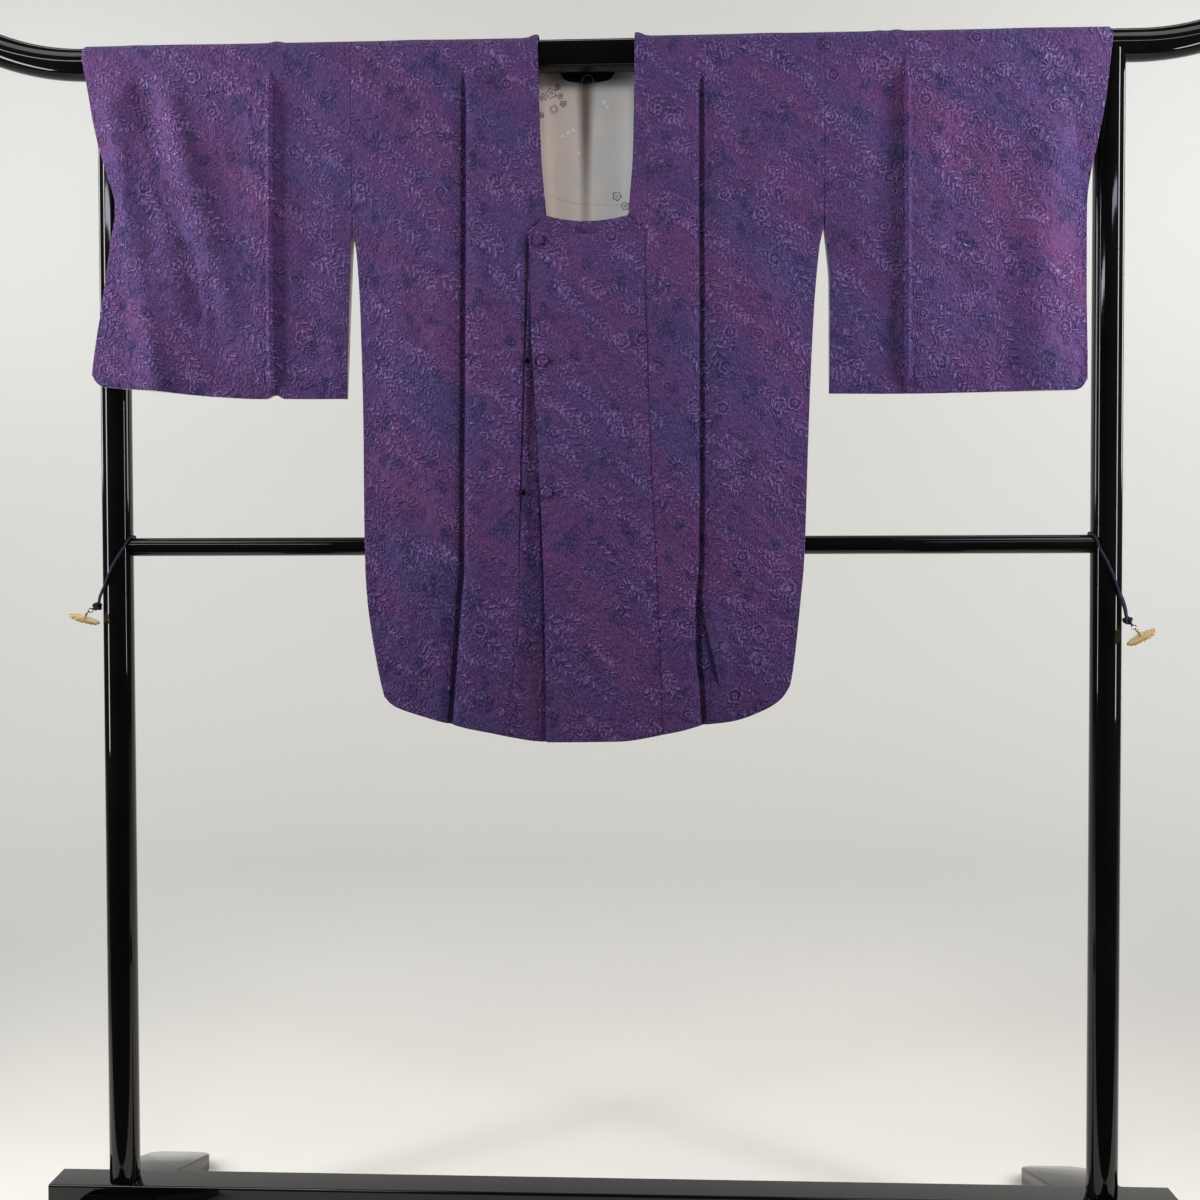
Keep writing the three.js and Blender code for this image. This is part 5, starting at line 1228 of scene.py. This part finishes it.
# ------------------------------------------------------------------ back lining
# Seen through the neck: the lining's upper part, sewn to the band with its edge turned under.
seam_drop_at = curve_through({"out": BACK_NECK["out"][::-1], "seamDrop": BACK_NECK["seamDrop"][::-1]},
                             "out", "seamDrop")
LINING_LIFT, STITCH_LIFT = -1.3, -1.25
u, t = np.meshgrid(stations(162, 3), stations(262, 3.6))
x = mix(-102.0, 60.0, u)
top = np.maximum(9.5, seam_drop_at(np.abs(x - CENTRE_X)) * (1 - ease(np.abs(x - CENTRE_X), 26, 52)))
s = QUARTER + mix(top, 272.0, t)
lining_piece = cloth("back_lining_silk", body_shape, x, s, [lining, lining], "back_lining", LINING_LIFT,
                     layers=(0.15, 1.0))


def stitch_tree():
    """Running stitches: one short thread on each point of a curve, laid along it."""
    tree = bpy.data.node_groups.new("running stitches", "GeometryNodeTree")
    given = sockets(tree, (
        ("Seam", "NodeSocketObject", None), ("Spacing", "NodeSocketFloat", 0.004),
        ("Stitch Length", "NodeSocketFloat", 0.0024), ("Thread", "NodeSocketFloat", 0.0002),
        ("Finish", "NodeSocketMaterial", None),
    ))
    line = add(tree, "GeometryNodeObjectInfo", {"Object": given.outputs["Seam"]})
    path = add(tree, "GeometryNodeMeshToCurve", {"Mesh": line.outputs["Geometry"]})
    spots = add(tree, "GeometryNodeCurveToPoints", {"Curve": path, "Length": given.outputs["Spacing"]},
                mode="LENGTH")
    one = add(tree, "GeometryNodeMeshCylinder", {"Vertices": 6, "Radius": given.outputs["Thread"],
                                                 "Depth": given.outputs["Stitch Length"]})
    laid = add(tree, "GeometryNodeInstanceOnPoints", {
        "Points": spots, "Instance": one.outputs["Mesh"], "Rotation": spots.outputs["Rotation"],
    })
    real = add(tree, "GeometryNodeRealizeInstances", {"Geometry": laid})
    done = add(tree, "GeometryNodeSetMaterial", {"Geometry": real, "Material": given.outputs["Finish"]})
    add(tree, "NodeGroupOutput", {"Geometry": done})
    return tree


# A seam crosses the lining low down, sewn in running stitches 4 mm apart.
seam_thread, tree, shader = new_finish("mauve sewing thread", Roughness=0.7)
place = add(tree, "ShaderNodeTexCoord").outputs["Object"]
spots = add(tree, NOISE, {"Vector": place, "Scale": 1400, "Detail": 2})
tone = stops(add(tree, "ShaderNodeValToRGB", {"Fac": spots}), (0.3, "#5A4A48"), (0.7, "#83706A"))
tree.links.new(tone.outputs[0], shader.inputs["Base Color"])
seam_at = curve_through({"x": (-72, -65, -38, -11, 14, 34), "s": (205, 209, 217.5, 220.5, 221, 219)},
                        "x", "s")
x = np.linspace(-70, 33, 60)
seam_line = drape(body_shape, x, seam_at(x), STITCH_LIFT)
mesh = bpy.data.meshes.new("lining seam")
mesh.from_pydata((seam_line * MM).tolist(), [(k, k + 1) for k in range(len(x) - 1)], [])
seam_guide = bpy.data.objects.new("lining_seam_line", mesh)
stitches = grown(stitch_tree(), {"Seam": seam_guide, "Finish": seam_thread})
bpy.data.objects.remove(seam_guide)
piece("lining_running_stitches", [np.array(v.co) / MM for v in stitches.vertices],
      [tuple(f.vertices) for f in stitches.polygons], [seam_thread])

# ------------------------------------------------------------------ buttons and snaps
# Three covered buttons are for show; two snaps under the left panel's edge hold the fronts.
def turned_piece(name, profile, x, drop, lift, stand_off, finish, node, sides=40):
    """A lathe-turned piece that sits on the coat's front with its back to the cloth."""
    s, lift = -(QUARTER + drop), lift + CLOTH_WALL
    here = drape(body_shape, x, s, lift)
    lower, aside = drape(body_shape, x, s - 6, lift), drape(body_shape, x + 4, s, lift)
    normal = np.cross(aside - here, lower - here)
    normal /= np.linalg.norm(normal) * (1 if normal[1] < 0 else -1)
    over = np.cross(normal, (0, 0, 1))
    over /= np.linalg.norm(over)
    rise = np.cross(over, normal)
    seat = here + normal * stand_off
    turns = np.arange(sides) / sides * 2 * math.pi
    rings = [[seat + normal * h + r * (math.cos(t) * over + math.sin(t) * rise) for t in turns]
             for r, h in profile]
    points, faces = skin(rings)
    out = np.asarray(points) - seat
    if sum(np.dot(out[f[0]], np.cross(out[f[1]], out[f[2]])) for f in faces) < 0:
        faces = [tuple(reversed(f)) for f in faces]
    flat = [(p[0] + 40, p[2] - BAR["height"]) for p in points]
    made = piece(name, points, faces, [finish], flat)
    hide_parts(node)
    return made


BUTTON_PROFILE = ((0.5, 0), (6.6, 0), (7.0, 0.3), (6.9, 0.7), (5.9, 0.9), (5.9, 1.4), (6.4, 2.3),
                  (6.2, 3.1), (5.6, 3.6), (4.6, 3.9), (2.6, 4.1), (0.6, 4.2))
for name, (x, drop) in zip(("button_top", "button_middle", "button_low"), BUTTON_SEATS):
    made = turned_piece(f"covered_{name}", BUTTON_PROFILE, x, drop, float(over_lift(x, drop)), 0.45,
                        silk, name)
    made.data.attributes.new("dye", "FLOAT", "POINT").data.foreach_set(
        "value", np.full(len(made.data.vertices), 1.6 if name == "button_top" else 0.1, np.float32))

# Snaps: steel plated black, so that they don't show on the dark silk.
snap_metal = plated("black-plated steel", "#2E292E", 1200, 0.1, 0.22)
SNAP_PROFILE = ((0.4, 0), (3.2, 0), (3.4, 0.25), (3.3, 0.6), (2.7, 0.95), (1.6, 1.2), (1.3, 1.4),
                (1.25, 1.9), (1.5, 2.4), (1.35, 2.8), (0.8, 3.0), (0.2, 3.0))
for name, x, drop in (("snap_upper", -96.6, 397), ("snap_lower", -100.9, 566)):
    turned_piece(f"press_{name}", SNAP_PROFILE, x, drop, float(under_lift(x, drop)), 1.0,
                 snap_metal, name)

# ------------------------------------------------------------------ hanging loop
# Two plies of cream thread twisted together, sewn to the lining at the centre back.
thread, tree, shader = new_finish("cream cotton thread", Roughness=0.75, Sheen_Weight=0.2)
where = add(tree, "ShaderNodeUVMap", uv_map="cloth")
slant = add(tree, "ShaderNodeMapping", {"Vector": where, "Rotation": (0, 0, math.radians(40))})
fibre = add(tree, "ShaderNodeTexNoise", {"Vector": slant, "Scale": 900, "Detail": 3})
tone = stops(add(tree, "ShaderNodeValToRGB", {"Fac": fibre}), (0.3, "#B8A98C"), (0.7, "#E6DAC2"))
tree.links.new(tone.outputs[0], shader.inputs["Base Color"])
LOOP_HALF_WIDTH, LOOP_RISE, LOOP_FOOT, PLY_RADIUS, PLY_APART = 7.6, 10.4, 4.6, 0.3, 0.28
low, high = (np.array(v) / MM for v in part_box("hanging_loop"))
around = math.pi * mix(-0.12, 1.12, np.linspace(0, 1, 60))
route = np.stack([
    CENTRE_X + LOOP_HALF_WIDTH * np.sign(np.cos(around)) * np.abs(np.cos(around)) ** 0.8,
    np.full(len(around), (low[1] + high[1]) / 2),
    low[2] + LOOP_FOOT + LOOP_RISE * np.sin(around),
], 1)
loop_points, loop_faces, loop_uv = [], [], []
for phase in (0, math.pi):
    twist = np.linspace(0, 60, len(route)) * 0.55 + phase
    forward = np.gradient(route, axis=0)
    forward /= np.linalg.norm(forward, axis=1)[:, None]
    aside = np.cross(forward, (0, 1, 0))
    ply = route + PLY_APART * (np.cos(twist)[:, None] * aside + np.sin(twist)[:, None] * (0, 1, 0))
    more, more_faces, more_uv = tube(ply, PLY_RADIUS, 8, taper=0.3)
    loop_faces += [tuple(i + len(loop_points) for i in f) for f in more_faces]
    loop_points += more
    loop_uv += more_uv
loop_piece = piece("thread_hanging_loop", loop_points, loop_faces, [thread], loop_uv)
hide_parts("hanging_loop")

# ------------------------------------------------------------------ floor and light
# A plain pale paper sweep, floor running up into wall well behind the stand, and soft windows
# of light on both sides, the left one stronger, with a broad fill from above.
paper, tree, shader = new_finish("pale paper", Roughness=0.9, Base_Color=hex_colour("#CFCECA"))
SWEEP = {"front": -0.24, "back": 3.6, "curve": 1.5, "height": 4.4, "half": 5.0}
profile = [(y, 0.0) for y in np.linspace(SWEEP["front"], SWEEP["back"] - SWEEP["curve"], 8)]
for angle in np.linspace(0, math.pi / 2, 20)[1:]:
    profile.append((SWEEP["back"] - SWEEP["curve"] + SWEEP["curve"] * math.sin(angle),
                    SWEEP["curve"] * (1 - math.cos(angle))))
profile.append((SWEEP["back"], SWEEP["height"]))
verts = [(x, y, z - 0.0004) for y, z in profile for x in (-SWEEP["half"], SWEEP["half"])]
mesh = bpy.data.meshes.new("paper sweep")
mesh.from_pydata(verts, [], [(2 * k, 2 * k + 1, 2 * k + 3, 2 * k + 2) for k in range(len(profile) - 1)])
mesh.polygons.foreach_set("use_smooth", np.ones(len(mesh.polygons), bool))
mesh.materials.append(paper)
sweep = bpy.data.objects.new("paper_sweep", mesh)
bpy.context.scene.collection.objects.link(sweep)

LIGHTS = (
    # name, place, aimed at, width, height, watts, colour
    ("window_left", (-1.4, -0.38, 1.4), (0.0, 0, 1.25), 0.46, 1.75, 26, "#FFFBF4"),
    ("window_right", (1.3, -0.34, 1.36), (0.1, 0, 1.25), 0.4, 1.5, 24, "#FFF4EC"),
    ("window_front", (0.05, -1.9, 2.6), (-0.02, 0, 1.2), 0.9, 0.7, 20, "#FFFAF4"),
    ("pane_left", (-1.35, -0.44, 1.4), (0.0, 0, 1.25), 0.11, 1.75, 9, "#FFFDF8"),
    ("pane_right", (1.25, -0.38, 1.36), (0.1, 0, 1.25), 0.08, 1.5, 6.5, "#EEF2FF"),
    ("strip_left", (-1.25, -1.3, 1.76), (-0.3, 0, 1.3), 1.0, 0.09, 3.2, "#EAF2FF"),
    ("strip_right", (1.2, -1.3, 1.76), (0.3, 0, 1.3), 0.9, 0.06, 1.2, "#EAF2FF"),
    ("ceiling_left", (-1.6, -1.0, 3.3), (0, 0.2, 0.8), 1.2, 0.9, 8, "#FFFCF6"),
    ("ceiling_right", (1.6, -1.0, 3.3), (0, 0.2, 0.8), 1.2, 0.9, 8, "#FFFCF6"),
    ("wall_left", (-3.3, 1.3, 2.5), (-1.0, 3.6, 2.3), 1.6, 2.6, 75, "#FAFCFF"),
    ("wall_right", (3.3, 1.3, 2.5), (1.0, 3.6, 2.3), 1.6, 2.6, 84, "#FBFCFE"),
    ("wall_top", (0, 1.2, 4.3), (0, 3.6, 1.2), 5.5, 0.8, 31, "#FAFCFF"),
)
for name, place, aim, width, tall, watts, code in LIGHTS:
    lamp = bpy.data.lights.new(name, "AREA")
    lamp.shape, lamp.size, lamp.size_y, lamp.energy = "RECTANGLE", width, tall, watts
    lamp.color = hex_colour(code)[:3]
    holder = bpy.data.objects.new(name, lamp)
    holder.location = place
    holder.rotation_euler = (Vector(aim) - Vector(place)).to_track_quat("-Z", "Y").to_euler()
    holder.visible_glossy = not name.startswith("window")
    bpy.context.scene.collection.objects.link(holder)
world = bpy.data.worlds.new("dim room")
world.use_nodes = True
tree = world.node_tree
seen = add(tree, "ShaderNodeLightPath").outputs["Is Camera Ray"]
level = add(tree, "ShaderNodeMapRange", (seen, 0, 1, 0.05, 0.8))
back = tree.nodes["Background"]
back.inputs["Color"].default_value = hex_colour("#E9E8E3")
tree.links.new(level.outputs[0], back.inputs["Strength"])
bpy.context.scene.world = world
bpy.context.scene.view_settings.view_transform = "Standard"
